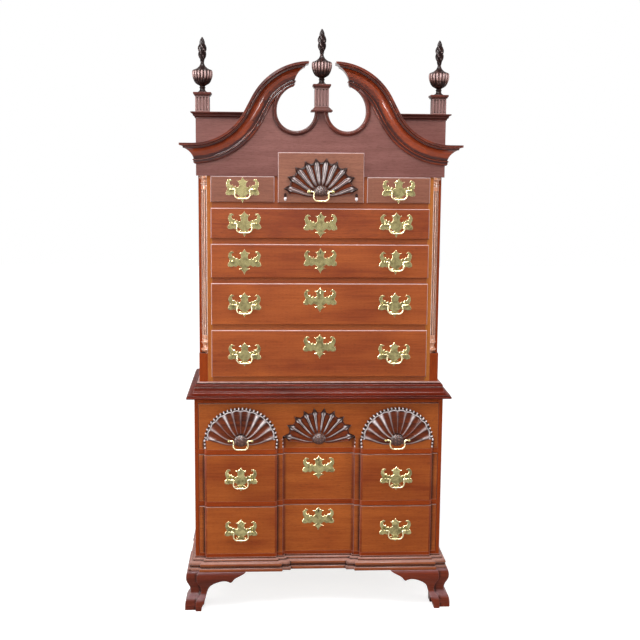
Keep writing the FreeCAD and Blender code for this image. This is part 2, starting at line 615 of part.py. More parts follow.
def scroll_top_steps():
    """Upper edge of the board behind the scroll, from the cap down to the scroll's end."""
    outer, big, turn = scroll_frame()
    big -= CORNICE_HEIGHT
    start, line = scroll_line(CORNICE_HEIGHT)
    low, high = line[0][-1], line[1][-1]
    radius = INNER_RADIUS + CORNICE_HEIGHT
    first = math.atan2(high[1] - INNER_CENTRE[1], high[0] - INNER_CENTRE[0])
    last = math.acos((SCROLL_END - INNER_CENTRE[0]) / radius)
    steps = [[high], [round_point(INNER_CENTRE, radius, (first + last) / 2.0),
                      round_point(INNER_CENTRE, radius, last)]]
    if low[1] > CAP_TOP:
        at = -math.pi - math.asin((CAP_TOP - outer[1]) / big)
        return round_point(outer, big, at), [[round_point(outer, big, (at + turn) / 2.0),
                                              low]] + steps
    share = (CAP_TOP - low[1]) / (high[1] - low[1])
    return (low[0] + share * (high[0] - low[0]), CAP_TOP), steps


def arch_centre():
    return (OCULUS[0] + OCULUS_RADIUS - ARCH_RADIUS, OCULUS[1] + 4.0)


def pediment_board():
    """Front board with its two openings, side friezes, corner blocks and a brace."""
    crossing, top = scroll_top_steps()
    arch = arch_centre()
    last = math.acos((SCROLL_END - arch[0]) / ARCH_RADIUS)
    start = (SHELL_OPEN_HALF, BOARD_BOTTOM)
    right = lines([(BOARD_HALF, BOARD_BOTTOM), (BOARD_HALF, CAP_TOP), crossing]) + top + [
        [round_point(arch, ARCH_RADIUS, last)],
        [round_point(arch, ARCH_RADIUS, last / 2.0), (OCULUS[0] + OCULUS_RADIUS, arch[1])],
        [(OCULUS[0] + OCULUS_RADIUS, OCULUS[1])],
        [(OCULUS[0], OCULUS[1] - OCULUS_RADIUS), (STEM_HALF, STEM_TOP)],
    ]
    shell_top = SHELL_TOP - LIP
    steps = right + [[(-STEM_HALF, STEM_TOP)]] + mirror_steps(start, right)
    steps += lines([(-SHELL_OPEN_HALF, shell_top), (SHELL_OPEN_HALF, shell_top), start])
    board = panel(start, steps, BOARD_FACE, BOARD_BACK)
    frieze = box(UPPER_HALF, BOARD_HALF, BOARD_BACK, UPPER_BACK, BOARD_BOTTOM, CASE_TOP)
    attic = box(BOARD_HALF - ATTIC_WIDE, BOARD_HALF, BOARD_BACK, BOARD_BACK + ATTIC_DEEP,
                CASE_TOP, CAP_TOP)
    brace_half = 0.6 * STEM_HALF
    brace = box(-brace_half, brace_half, BOARD_BACK, BOARD_BACK + BOARD_THICK,
                CASE_TOP, STEM_TOP)
    save("pediment_board", [board, brace] + both([frieze, attic]))


def pediment_trim(scroll):
    """Ring mouldings round the openings and caps round the corner blocks."""
    arch = arch_centre()
    wide, proud = RING_WIDE, RING_PROUD
    outline = [[(0.4 * proud, 0)], [(0.85 * proud, 0.12 * wide), (proud, 0.4 * wide)],
               [(0.85 * proud, 0.7 * wide), (0.4 * proud, 0.75 * wide)],
               [(0.3 * proud, wide)], [(0, wide)], [(0, 0)]]
    ring = followed(outline, (STEM_HALF, STEM_TOP), (-1, 0),
                    [OCULUS + (180.0,), (OCULUS[0] + OCULUS_RADIUS, arch[1]), arch + (48.0,)])
    ring = ring.cut(scroll)
    crossing = scroll_top_steps()[0]
    reach, high = CAP_REACH, CAP_HEIGHT
    back = BOARD_BACK + ATTIC_DEEP
    cap_path = [(crossing[0] - CAP_HEIGHT, BOARD_FACE), (BOARD_HALF, BOARD_FACE),
                (BOARD_HALF, back), (BOARD_HALF - ATTIC_WIDE, back)]
    cap_steps = [[(3, 0)], [(5, 6), (9, 8)], [(9, 10)], [(11, 15), (reach - 1, 17)],
                 [(reach, 18)], [(reach, high)], [(0, high)], [(0, 0)]]
    cap = moulding(cap_path, (0, 0), cap_steps, CAP_LOW).cut(scroll)
    keep = box(crossing[0] - CAP_HEIGHT, BOARD_HALF + reach, BOARD_FACE - reach, back + reach,
               CAP_LOW, CAP_TOP)
    save("pediment_trim", both(ring.Solids + cap.common(keep).Solids))


def plinth(x, y, z, high, flared):
    """Fluted square plinth with its cap, and a flared foot on the middle one."""
    half = PLINTH_HALF
    low = CENTRE_BASE if flared else 0.0
    body = box(x - half, x + half, y - half, y + half, z + low, z + high + low)
    margin = 5.0
    pitch = 2.0 * half / (PLINTH_FLUTES + 0.5)
    for index in range(PLINTH_FLUTES):
        offset = (index - (PLINTH_FLUTES - 1) / 2.0) * pitch
        long = high - 2 * margin
        for fx, fy in ((x + offset, y - half), (x + half, y + offset),
                       (x - half, y + offset)):
            flute = Part.makeCylinder(0.3 * pitch, long, V(fx, fy, z + low + margin))
            body = body.cut(flute)
    top = z + high + low
    wide = half + PLINTH_CAP_REACH
    cap_low = Part.makeBox(2 * wide - 6, 2 * wide - 6, 0.4 * PLINTH_CAP,
                           V(x - wide + 3, y - wide + 3, top))
    cap_top = Part.makeBox(2 * wide, 2 * wide, 0.6 * PLINTH_CAP,
                           V(x - wide, y - wide, top + 0.4 * PLINTH_CAP))
    pieces = [body, cap_low.fuse(cap_top).removeSplitter()]
    if flared:
        wide = half + CENTRE_BASE_REACH
        lower = box(x - wide, x + wide, y - wide, y + wide, z, z + 0.35 * CENTRE_BASE)
        wires = []
        for size, at in ((wide - 2, z + 0.35 * CENTRE_BASE), (half + 1, z + CENTRE_BASE)):
            corners = [V(x - size, y - size, at), V(x + size, y - size, at),
                       V(x + size, y + size, at), V(x - size, y + size, at)]
            wires.append(Part.makePolygon(corners + corners[:1]))
        pieces.append(lower.fuse(Part.makeLoft(wires, True, True)).removeSplitter())
    return pieces, top + PLINTH_CAP


def finial(x, y, z):
    """Turned urn with a flame: foot, neck, bowl, rim, neck and flame."""
    bowl = FINIAL_RADIUS
    steps = [[(16.5, 0)], [(16.5, 3)], [(12, 6), (9, 14)], [(11, 17), (9, 20)],
             [(10.8, 24)], [(24, 31), (33, 47), (bowl, 64), (bowl - 0.5, 72), (bowl - 3, 78)],
             [(bowl - 6, 79.5)], [(20, 84), (12, 91), (7.5, 98), (6.1, 106)],
             [(10, 116), (14, 129), (16.5, 148), (12, 168), (5, 186), (0, FINIAL_HEIGHT)],
             [(0, 0)]]
    return turned((0, 0), steps, x, y, z)


def finials():
    pieces = []
    side_x = BOARD_HALF - PLINTH_INSET
    side_y = BOARD_FACE + PLINTH_BEHIND
    for x, y, z, high, flared in ((side_x, side_y, CAP_TOP, SIDE_PLINTH_HIGH, False),
                                  (-side_x, side_y, CAP_TOP, SIDE_PLINTH_HIGH, False),
                                  (0, (BOARD_FACE + BOARD_BACK) / 2.0, STEM_TOP,
                                   CENTRE_PLINTH_HIGH, True)):
        plinth_pieces, top = plinth(x, y, z, high, flared)
        pieces += plinth_pieces + [finial(x, y, top)]
    save("finials", pieces)


# ---------------------------------------------------------------- carved shells
def fan_turns(lobes):
    """Directions of the lobes of a shell, turned up from the right."""
    return [math.pi * (index + 0.25) / (lobes - 0.5) for index in range(lobes)]


def shell_reach(turn, half, high):
    return half * high / math.hypot(high * math.cos(turn), half * math.sin(turn))


def shell_hub(x, z, back, proud):
    ball = Part.makeSphere(HUB_RADIUS, V(x, back, z))
    return ball.common(box(x - HUB_RADIUS, x + HUB_RADIUS, back - proud, back,
                           z, z + HUB_RADIUS))


def raised_shell(x, z, half, high, face, relief):
    """Convex shell: tapered round lobes that fan out from a hub."""
    turns = fan_turns(RAISED_LOBES)
    wide = 0.5 * (turns[1] - turns[0]) * (half - relief)
    shell = shell_hub(x, z, face, 1.1 * relief)
    for turn in turns:
        long = shell_reach(turn, half, high) - wide
        end = V(long * math.cos(turn), wide - relief, long * math.sin(turn))
        lobe = Part.makeCone(3.0, wide, end.Length, V(x, face, z), end)
        shell = shell.fuse(lobe).fuse(Part.makeSphere(wide, V(x, face, z) + end))
    room = box(x - half, x + half, face - 2 * relief, face, z, z + high + relief)
    return shell.common(room)


def pointed_rim(x, z, half, high):
    """Outline of a pointed shell: a hollow curve from each lobe's tip to the next."""
    turns = fan_turns(POINTED_LOBES)

    def rim(turn, share):
        long = share * shell_reach(turn, half, high)
        return (x + long * math.cos(turn), z + long * math.sin(turn))

    start = (x + half, z)
    steps = [[rim(turns[0], 1.0)]]
    for one, two in zip(turns, turns[1:]):
        steps.append([rim((one + two) / 2.0, VALLEY), rim(two, 1.0)])
    return start, steps + [[(x - half, z)], [start]]


def pointed_shell(x, z, half, high, back, thick):
    """Flatter shell: pointed lobes with a hollow flute between each two."""
    start, steps = pointed_rim(x, z, half, high)
    shell = panel(start, steps, back - thick, back)
    turns = fan_turns(POINTED_LOBES)
    deep = 0.7 * thick
    for one, two in zip(turns, turns[1:]):
        turn = (one + two) / 2.0
        wide = 0.36 * half * (two - one)
        radius = (wide * wide + deep * deep) / (2.0 * deep)
        way = V(half * math.cos(turn), deep - radius, half * math.sin(turn))
        flute = Part.makeCone(0.5, radius, way.Length, V(x, back - thick, z), way)
        shell = shell.cut(flute)
    return shell.fuse(shell_hub(x, z, back, 1.8 * thick)).removeSplitter()


def post_rods(x, z, radius, y0, y1):
    """Round rods on the lines of a bail's two posts."""
    return [Part.makeCylinder(radius, y1 - y0, V(x + side, y0, z), V(0, 1, 0))
            for side in (-POST_SPREAD / 2.0, POST_SPREAD / 2.0)]


LOWER_SHELL_Z = LOWER_FLOORS[2] + SHELL_FOOT
UPPER_SHELL_Z = TOP_ROW + SHELL_FOOT_RISE


def shells():
    low = raised_shell(BLOCK_MIDDLE, LOWER_SHELL_Z, SIDE_SHELL_HALF, LOWER_SHELL_HIGH, 0,
                       SHELL_RELIEF)
    for bore in post_rods(BLOCK_MIDDLE, LOWER_SHELL_Z, BOSS_RADIUS + RUN_GAP, -60.0, 60.0):
        low = low.cut(bore)
    niche = pointed_shell(0, LOWER_SHELL_Z, NICHE_HALF - NICHE_ROOM,
                          LOWER_SHELL_HIGH - 2.0 * NICHE_ROOM, BLOCK_DIP, SHELL_RELIEF)
    save("lower_shells", both(low.Solids) + niche.Solids)
    high = pointed_shell(0, UPPER_SHELL_Z, UPPER_SHELL_HALF, UPPER_SHELL_HIGH, SHELL_FACE,
                         SHELL_POST_RISE)
    for bore in post_rods(0, UPPER_SHELL_Z, ROSETTE_RADIUS + RUN_GAP, -60.0, 60.0):
        high = high.cut(bore)
    save("upper_shell", high.Solids)


# ---------------------------------------------------------------- brasses
def plate_outline():
    """Right half of the pierced-edge plate, from its top point to its bottom point."""
    return (0, PLATE_TOP), [
        [(3.5, 37.5), (8.5, 33)], [(12, 30.5), (20.5, 30.5)], [(14.5, 25.5)],
        [(12.5, 19), (12.5, 12), (15, 8), (21, 7)], [(27.5, 13.5)], [(28.5, 8.5), (33, 10)],
        [(36, 16.5)], [(41, 14.5), (45, 20)], [(45.5, 27), (38, 28.5)],
        [(41, 34), (48, 35), (55, 30), (58.5, 21), (57.5, 11), (53.5, 2), (54, -3)],
        [(57.5, -5.5), (59, -10)],
        [(60, -17), (53, -20.5)], [(45, -21), (39, -17)], [(34, -20.5), (26, -18)],
        [(21, -16), (17, -18.5)], [(12, -22.5), (8, -23)], [(13, -27), (20.5, -28.5)],
        [(12, -32), (5, -38)], [(0, -48.5)]]


def keyhole(x, z, y0, y1):
    bore = Part.makeCylinder(KEY_RADIUS, y1 - y0, V(x, y0, z), V(0, 1, 0))
    slot = box(x - 0.5 * KEY_RADIUS, x + 0.5 * KEY_RADIUS, y0, y1, z - KEY_SLOT, z)
    return bore.fuse(slot).removeSplitter()


def plate(x, z, face):
    start, right = plate_outline()
    shape = panel(start, right + mirror_steps(start, right), face - PLATE_THICK, face)
    return shape.translated(V(x, 0, z))


def post(x, z, face, side, back, extra):
    """Ball-headed post of a pull: bored for the bail's end, threaded through the front."""
    front = face - PLATE_THICK - extra
    head_y = front - STANDOFF
    ball = Part.makeSphere(HEAD_RADIUS, V(x, head_y, z))
    neck = Part.makeCylinder(0.55 * HEAD_RADIUS, front - head_y, V(x, head_y, z), V(0, 1, 0))
    shank = Part.makeCylinder(SHANK_RADIUS, back + NUT_THICK - head_y, V(x, head_y, z),
                              V(0, 1, 0))
    bore = Part.makeCylinder(PIN_RADIUS + PIN_GAP, 2.0 * HEAD_RADIUS,
                             V(x + side * 2.5, head_y, z), V(-side, 0, 0))
    nut = box(x - NUT / 2.0, x + NUT / 2.0, back, back + NUT_THICK, z - NUT / 2.0, z + NUT / 2.0)
    hole = Part.makeCylinder(SHANK_RADIUS + SHANK_GAP / 2.0, 2 * NUT_THICK,
                             V(x, back - NUT_THICK, z), V(0, 1, 0))
    return [ball.fuse(neck).fuse(shank).removeSplitter().cut(bore), nut.cut(hole)]


def pull_brasses(x, z, face, back, plain, extra):
    """Plate (or two washers) and two posts with their nuts."""
    front = face - PLATE_THICK - extra
    left, right = post_rods(x, z, SHANK_RADIUS + SHANK_GAP, front, face)
    if plain:
        washers = post_rods(x, z, ROSETTE_RADIUS, front, face)
        pieces = [washers[0].cut(left), washers[1].cut(right)]
    else:
        pieces = [plate(x, z, face).cut(left).cut(right)]
    for side in (-1, 1):
        pieces += post(x + side * POST_SPREAD / 2.0, z, face, side, back, extra)
    return pieces


def bail(x, z, axis_y):
    """Swan-necked handle that hangs between its posts."""
    def corner(before, at, after, radius):
        one = (before - at).normalize()
        two = (after - at).normalize()
        half = 0.5 * math.acos(one.dot(two))
        run = radius / math.tan(half)
        centre = at + (one + two).normalize() * (radius / math.sin(half))
        middle = centre + (at - centre).normalize() * radius
        return at + one * run, middle, at + two * run

    end = POST_SPREAD / 2.0 - HEAD_RADIUS - 0.8
    points = [V(end, 0, 0), V(BAIL_NECK, 0, 0), V(BAIL_HALF, 0, -BAIL_DROP),
              V(-BAIL_HALF, 0, -BAIL_DROP), V(-BAIL_NECK, 0, 0), V(-end, 0, 0)]
    radii = [4.5, 15.0, 15.0, 4.5]
    edges = []
    last = points[0]
    for index, radius in enumerate(radii, 1):
        first, middle, final = corner(points[index - 1], points[index], points[index + 1], radius)
        edges.append(Part.LineSegment(last, first).toShape())
        edges.append(Part.Arc(first, middle, final).toShape())
        last = final
    edges.append(Part.LineSegment(last, points[-1]).toShape())
    section = Part.Wire(Part.makeCircle(BAIL_RADIUS, points[0], V(1, 0, 0)))
    rod = Part.Wire(edges).makePipeShell([section], True, False)
    pin_end = POST_SPREAD / 2.0 + 2.0
    for side in (-1, 1):
        rod = rod.fuse(Part.makeCylinder(PIN_RADIUS, pin_end - end + 1.0,
                                         V(side * (end - 1.0), 0, 0), V(side, 0, 0)))
    return rod.removeSplitter().translated(V(x, axis_y, z))


# ---------------------------------------------------------------- drawers
def drawer_box(name, x0, x1, front, back, floor, opening):
    """Sides, back and bottom behind a drawer front, for an opening from x0 to x1."""
    left, right = x0 + SIDE_GAP, x1 - SIDE_GAP
    low = floor + RUN_GAP
    top = floor + opening - SIDE_DROP
    inner_left, inner_right = left + SIDE_STOCK, right - SIDE_STOCK
    save(name, [
        box(left, inner_left, front, back, low, top),
        box(inner_right, right, front, back, low, top),
        box(inner_left, inner_right, back - SIDE_STOCK, back, low, top),
        box(inner_left, inner_right, front, back - SIDE_STOCK,
            low + BOTTOM_RAISE, low + BOTTOM_RAISE + BOTTOM_STOCK)])


def lipped_front(x0, x1, z0, z1, face):
    """Drawer front whose rounded lip laps over the frame on every side."""
    lip = box(x0, x1, face, face + LIP_THICK, z0, z1)
    rim = [edge for edge in lip.Edges
           if abs(edge.BoundBox.YMin - face) < 0.01 and abs(edge.BoundBox.YMax - face) < 0.01]
    lip = lip.makeFillet(LIP_ROUND, rim)
    core = box(x0 + LIP + SIDE_GAP, x1 - LIP - SIDE_GAP, face + LIP_THICK, CORE_BACK,
               z0 + LIP + RUN_GAP, z1 - LIP - TOP_GAP)
    return lip.fuse(core).removeSplitter()


def lock(top, back):
    """Iron lock on the inside of the front, behind its keyhole."""
    return box(-LOCK_WIDE / 2.0, LOCK_WIDE / 2.0, back, back + LOCK_THICK,
               top - LOCK_HIGH, top)


def finish_drawer(name, front, pulls, face, back, plate_top=None, plate_face=None,
                  plain=False, extra=0.0, lost=()):
    """Bore the front and save it with its fixed brasses and its hanging bails."""
    brasses = []
    for index, (side, x, z) in enumerate(pulls):
        for bore in post_rods(x, z, SHANK_RADIUS + SHANK_GAP, face - 40.0, back + 1.0):
            front = front.cut(bore)
        brasses += pull_brasses(x, z, face, back, plain, extra)
        if index not in lost:
            save("bail_%s%s" % (name, side),
                 [bail(x, z, face - PLATE_THICK - extra - STANDOFF)])
    if plate_top is not None:
        middle = plate_top - PLATE_TOP
        hole = keyhole(0, middle + KEYHOLE_RISE, plate_face - 40.0, back + 1.0)
        front = front.cut(hole)
        brasses += [plate(0, middle, plate_face).cut(hole),
                    lock(middle + KEYHOLE_RISE + LOCK_HIGH / 2.0, back)]
    save("front_%s" % name, front.Solids)
    save("brasses_%s" % name, brasses)


def upper_drawers():
    box_back = UPPER_BACK_FACE - BACK_CLEAR
    for number, (low, high) in enumerate(zip(LIP_LOWS, LIP_HEIGHTS)):
        name = "upper_%d" % (number + 1)
        front = lipped_front(-LIP_HALF, LIP_HALF, low, low + high, LIP_FACE)
        z = low + high / 2.0
        lost = (0,) if number == 2 else ()
        finish_drawer(name, front, [("_left", -PULL_X, z), ("_right", PULL_X, z)], LIP_FACE,
                      CORE_BACK, low + high - PLATE_DROP_UPPER, LIP_FACE, lost=lost)
        drawer_box("box_%s" % name, -OPEN_HALF, OPEN_HALF, CORE_BACK, box_back, low + LIP,
                   high - 2 * LIP)
    inner = SMALL_OPEN_INNER - LIP
    z = TOP_ROW + TOP_LIP_HEIGHT / 2.0
    for name, sign in (("small_left", -1), ("small_right", 1)):
        x0, x1 = sorted((sign * inner, sign * LIP_HALF))
        front = lipped_front(x0, x1, TOP_ROW, TOP_ROW + TOP_LIP_HEIGHT, LIP_FACE)
        finish_drawer(name, front, [("", (x0 + x1) / 2.0, z)], LIP_FACE, CORE_BACK)
        drawer_box("box_%s" % name, x0 + LIP, x1 - LIP, CORE_BACK, box_back, TOP_ROW + LIP,
                   TOP_LIP_HEIGHT - 2 * LIP)
    front = lipped_front(-SHELL_LIP_HALF, SHELL_LIP_HALF, TOP_ROW, SHELL_TOP, SHELL_FACE)
    front = front.fuse(box(-SHELL_LIP_HALF, SHELL_LIP_HALF, SHELL_FACE + LIP_THICK,
                           LIP_FACE + LIP_THICK, TOP_ROW, BOARD_BOTTOM - RUN_GAP))
    front = front.removeSplitter()
    finish_drawer("shell", front, [("", 0, UPPER_SHELL_Z)], SHELL_FACE, CORE_BACK,
                  plain=True, extra=SHELL_POST_RISE)
    drawer_box("box_shell", -SHELL_OPEN_HALF, SHELL_OPEN_HALF, CORE_BACK, box_back,
               TOP_ROW + LIP, SHELL_LIP_HEIGHT - 2 * LIP)


def shell_drawer_front(low, high, half):
    """Flat front with a blocked pad under each raised shell and a sunk niche between."""
    front = box(-half, half, 0, FRONT_BACK, low, high)
    outline = block_outline()
    start = outline[0][0]
    pad = slab(start, outline[1:4] + [[start]], low, LOWER_SHELL_Z)
    bosses = post_rods(BLOCK_MIDDLE, LOWER_SHELL_Z, BOSS_RADIUS, -BLOCK_RISE, 0)
    for piece in both([pad] + bosses):
        front = front.fuse(piece)
    start = outline[4][0]
    dip = [outline[5], [(-outline[5][1][0], BLOCK_DIP)]] + mirror_steps(start, [outline[5]])
    front = front.cut(slab(start, dip + [[start]], low, LOWER_SHELL_Z))
    start, steps = pointed_rim(0, LOWER_SHELL_Z, NICHE_HALF, LOWER_SHELL_HIGH - NICHE_ROOM)
    return front.cut(panel(start, steps, 0, BLOCK_DIP)).removeSplitter()


def lower_drawers():
    box_back = LOWER_BACK_FACE - BACK_CLEAR
    half = LOWER_INNER - SIDE_GAP
    for number, (floor, opening) in enumerate(zip(LOWER_FLOORS, LOWER_OPENINGS)):
        low, high = floor + RUN_GAP, floor + opening - TOP_GAP
        shell = number == 2
        name = "lower_shell" if shell else "lower_%d" % (number + 1)
        if shell:
            front = shell_drawer_front(low, high, half)
            z = LOWER_SHELL_Z
        else:
            front = block_slab(half, FRONT_BACK, low, high)
            z = (low + high) / 2.0
        pulls = [("_left", -BLOCK_MIDDLE, z), ("_right", BLOCK_MIDDLE, z)]
        if shell:
            finish_drawer(name, front, pulls, -BLOCK_RISE, FRONT_BACK, plain=True)
        else:
            finish_drawer(name, front, pulls, -BLOCK_RISE, FRONT_BACK,
                          high - PLATE_DROP_LOWER, BLOCK_DIP)
        drawer_box("box_%s" % name, -LOWER_INNER, LOWER_INNER, FRONT_BACK, box_back, floor,
                   opening)


# ---------------------------------------------------------------- the whole chest
os.makedirs("parts", exist_ok=True)
lower_carcase()
lower_drawer_frame()
base_moulding()
bracket_feet()
waist_moulding()
upper_carcase()
upper_drawer_frame()
quarter_columns()
pediment_board()
cornice = cornice_pieces()
save("scroll_cornice", both(cornice))
pediment_trim(cornice[0])
finials()
shells()
upper_drawers()
lower_drawers()
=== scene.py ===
import itertools
import math

import bmesh
import bpy
from mathutils import Matrix, Vector


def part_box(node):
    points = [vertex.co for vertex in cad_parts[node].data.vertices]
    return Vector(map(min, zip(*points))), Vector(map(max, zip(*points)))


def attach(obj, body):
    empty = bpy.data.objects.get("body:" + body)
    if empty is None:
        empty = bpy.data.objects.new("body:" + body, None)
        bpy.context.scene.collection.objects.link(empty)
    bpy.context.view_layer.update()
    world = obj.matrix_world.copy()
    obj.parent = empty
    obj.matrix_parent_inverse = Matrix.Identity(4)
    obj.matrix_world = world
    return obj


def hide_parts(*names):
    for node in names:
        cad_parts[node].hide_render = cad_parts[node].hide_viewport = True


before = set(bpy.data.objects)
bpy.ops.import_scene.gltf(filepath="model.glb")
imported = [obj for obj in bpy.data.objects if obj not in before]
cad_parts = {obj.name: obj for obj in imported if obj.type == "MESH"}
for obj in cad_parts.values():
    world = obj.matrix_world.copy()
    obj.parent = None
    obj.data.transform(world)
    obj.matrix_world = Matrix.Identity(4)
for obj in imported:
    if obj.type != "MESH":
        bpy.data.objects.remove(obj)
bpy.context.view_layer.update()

MM = 0.001


def add_object(name, data):
    made = bpy.data.objects.new(name, data)
    bpy.context.scene.collection.objects.link(made)
    return made


# -------------------- camera
CAMERA_AT = (-0.1975, -3.9859, 1.6303)
CAMERA_YAW, CAMERA_PITCH, CAMERA_ROLL = 3.01, 8.11, 0.48  # degrees: right, down, clockwise
CAMERA_SENSOR, CAMERA_LENS = 36.0, 58.31  # mm


def set_camera():
    yaw, pitch, roll = map(math.radians, (CAMERA_YAW, CAMERA_PITCH, CAMERA_ROLL))
    ahead = Vector((math.sin(yaw) * math.cos(pitch), math.cos(yaw) * math.cos(pitch),
                    -math.sin(pitch)))
    right = Vector((math.cos(yaw), -math.sin(yaw), 0))
    up = right.cross(ahead)
    across = math.cos(roll) * right + math.sin(roll) * up
    upright = math.cos(roll) * up - math.sin(roll) * right
    data = bpy.data.cameras.new("camera")
    data.sensor_width = CAMERA_SENSOR
    data.lens = CAMERA_LENS
    camera = add_object("camera", data)
    turn = Matrix((across, upright, -ahead)).transposed().to_4x4()
    camera.matrix_world = Matrix.Translation(CAMERA_AT) @ turn
    bpy.context.scene.camera = camera


set_camera()


# -------------------- node helpers
def place(tree, kind, inputs=None, **settings):
    """A node with its settings; an input is a number, a colour or another node's output."""
    node = tree.nodes.new(kind)
    for key, value in settings.items():
        setattr(node, key, value)
    for key, value in (inputs or {}).items():
        if isinstance(value, bpy.types.NodeSocket):
            tree.links.new(value, node.inputs[key])
        else:
            node.inputs[key].default_value = value
    return node


def blend(tree, share, one, two, how="MIX"):
    """Colour one, and two by its share."""
    node = place(tree, "ShaderNodeMix", {0: share, 6: one, 7: two}, data_type="RGBA",
                 blend_type=how)
    return node.outputs[2]


def sums(tree, how, one, two, clamp=False):
    """One of Blender's sums with two numbers."""
    return place(tree, "ShaderNodeMath", {0: one, 1: two}, operation=how,
                 use_clamp=clamp).outputs[0]


def times(tree, one, two, clamp=False):
    return sums(tree, "MULTIPLY", one, two, clamp)


def spread(tree, value, low, high, to_low=0.0, to_high=1.0):
    """A value from low to high laid out from to_low to to_high, and held at both ends."""
    return place(tree, "ShaderNodeMapRange",
                 {0: value, 1: low, 2: high, 3: to_low, 4: to_high}).outputs[0]


def on_object(tree):
    """A point's place on the object, in m."""
    return place(tree, "ShaderNodeTexCoord").outputs["Object"]


def noise(tree, vector, stretch, detail=2.0, rough=0.5, bend=0.0):
    """Clouds with stretch repeats in a metre along each axis."""
    mapping = place(tree, "ShaderNodeMapping", {"Vector": vector, "Scale": stretch})
    return place(tree, "ShaderNodeTexNoise",
                 {"Vector": mapping.outputs[0], "Scale": 1.0, "Detail": detail,
                  "Roughness": rough, "Distortion": bend}).outputs[0]


def seen_rays(tree):
    """1 for a ray that sees the thing itself: from the camera, off gloss or through glass."""
    rays = place(tree, "ShaderNodeLightPath").outputs
    seen = sums(tree, "MAXIMUM", rays["Is Camera Ray"], rays["Is Glossy Ray"])
    return sums(tree, "MAXIMUM", seen, rays["Is Transmission Ray"])


def group(name, sockets_in, sockets_out):
    """Empty shader node group; sockets are (name, type, value)."""
    tree = bpy.data.node_groups.new(name, "ShaderNodeTree")
    for label, kind, value in sockets_in:
        item = tree.interface.new_socket(label, in_out="INPUT", socket_type=kind)
        if value is not None:
            item.default_value = value
    for label, kind in sockets_out:
        tree.interface.new_socket(label, in_out="OUTPUT", socket_type=kind)
    given = tree.nodes.new("NodeGroupInput").outputs
    return tree, given, tree.nodes.new("NodeGroupOutput").inputs


COLOUR, NUMBER, VECTOR = "NodeSocketColor", "NodeSocketFloat", "NodeSocketVector"


def wood_grain_group():
    """Figured wood whose grain runs along the first part of its vector."""
    tree, given, out = group(
        "wood grain",
        [("Vector", VECTOR, None), ("Light", COLOUR, (0.4, 0.12, 0.04, 1)),
         ("Dark", COLOUR, (0.2, 0.04, 0.015, 1)), ("Tone And Shading", NUMBER, 0.0),
         ("Pores", NUMBER, 0.5)],
        [("Color", COLOUR), ("Roughness", NUMBER), ("Height", NUMBER)])
    at = given["Vector"]
    broad = noise(tree, at, (1.6, 26.0, 26.0), 3.0, 0.55, 0.7)
    cloud = noise(tree, at, (5.0, 9.0, 9.0), 2.0, 0.6, 0.3)
    streak = noise(tree, at, (9.0, 210.0, 210.0), 3.0, 0.6, 0.2)
    pore = noise(tree, at, (70.0, 1500.0, 1500.0), 1.0, 0.5)
    ribbon = noise(tree, at, (34.0, 60.0, 60.0), 1.0, 0.5)
    broad = spread(tree, broad, 0.3, 0.7)
    cloud = spread(tree, cloud, 0.3, 0.7)
    streak = spread(tree, streak, 0.28, 0.72)
    mixed = times(tree, broad, 0.36)
    for part, share in ((streak, 0.38), (cloud, 0.2), (ribbon, 0.06), (given["Tone And Shading"], 0.2)):
        mixed = sums(tree, "ADD", mixed, times(tree, part, share), clamp=True)
    colour = blend(tree, mixed, given["Dark"], given["Light"])
    dots = spread(tree, pore, 0.56, 0.7)
    dots = times(tree, dots, given["Pores"])
    colour = blend(tree, dots, colour, (0.045, 0.012, 0.006, 1))
    tree.links.new(colour, out["Color"])
    tree.links.new(spread(tree, streak, 0.0, 1.0, 0.5, 0.38), out["Roughness"])
    height = sums(tree, "SUBTRACT", times(tree, streak, 0.3), dots)
    tree.links.new(height, out["Height"])
    return tree


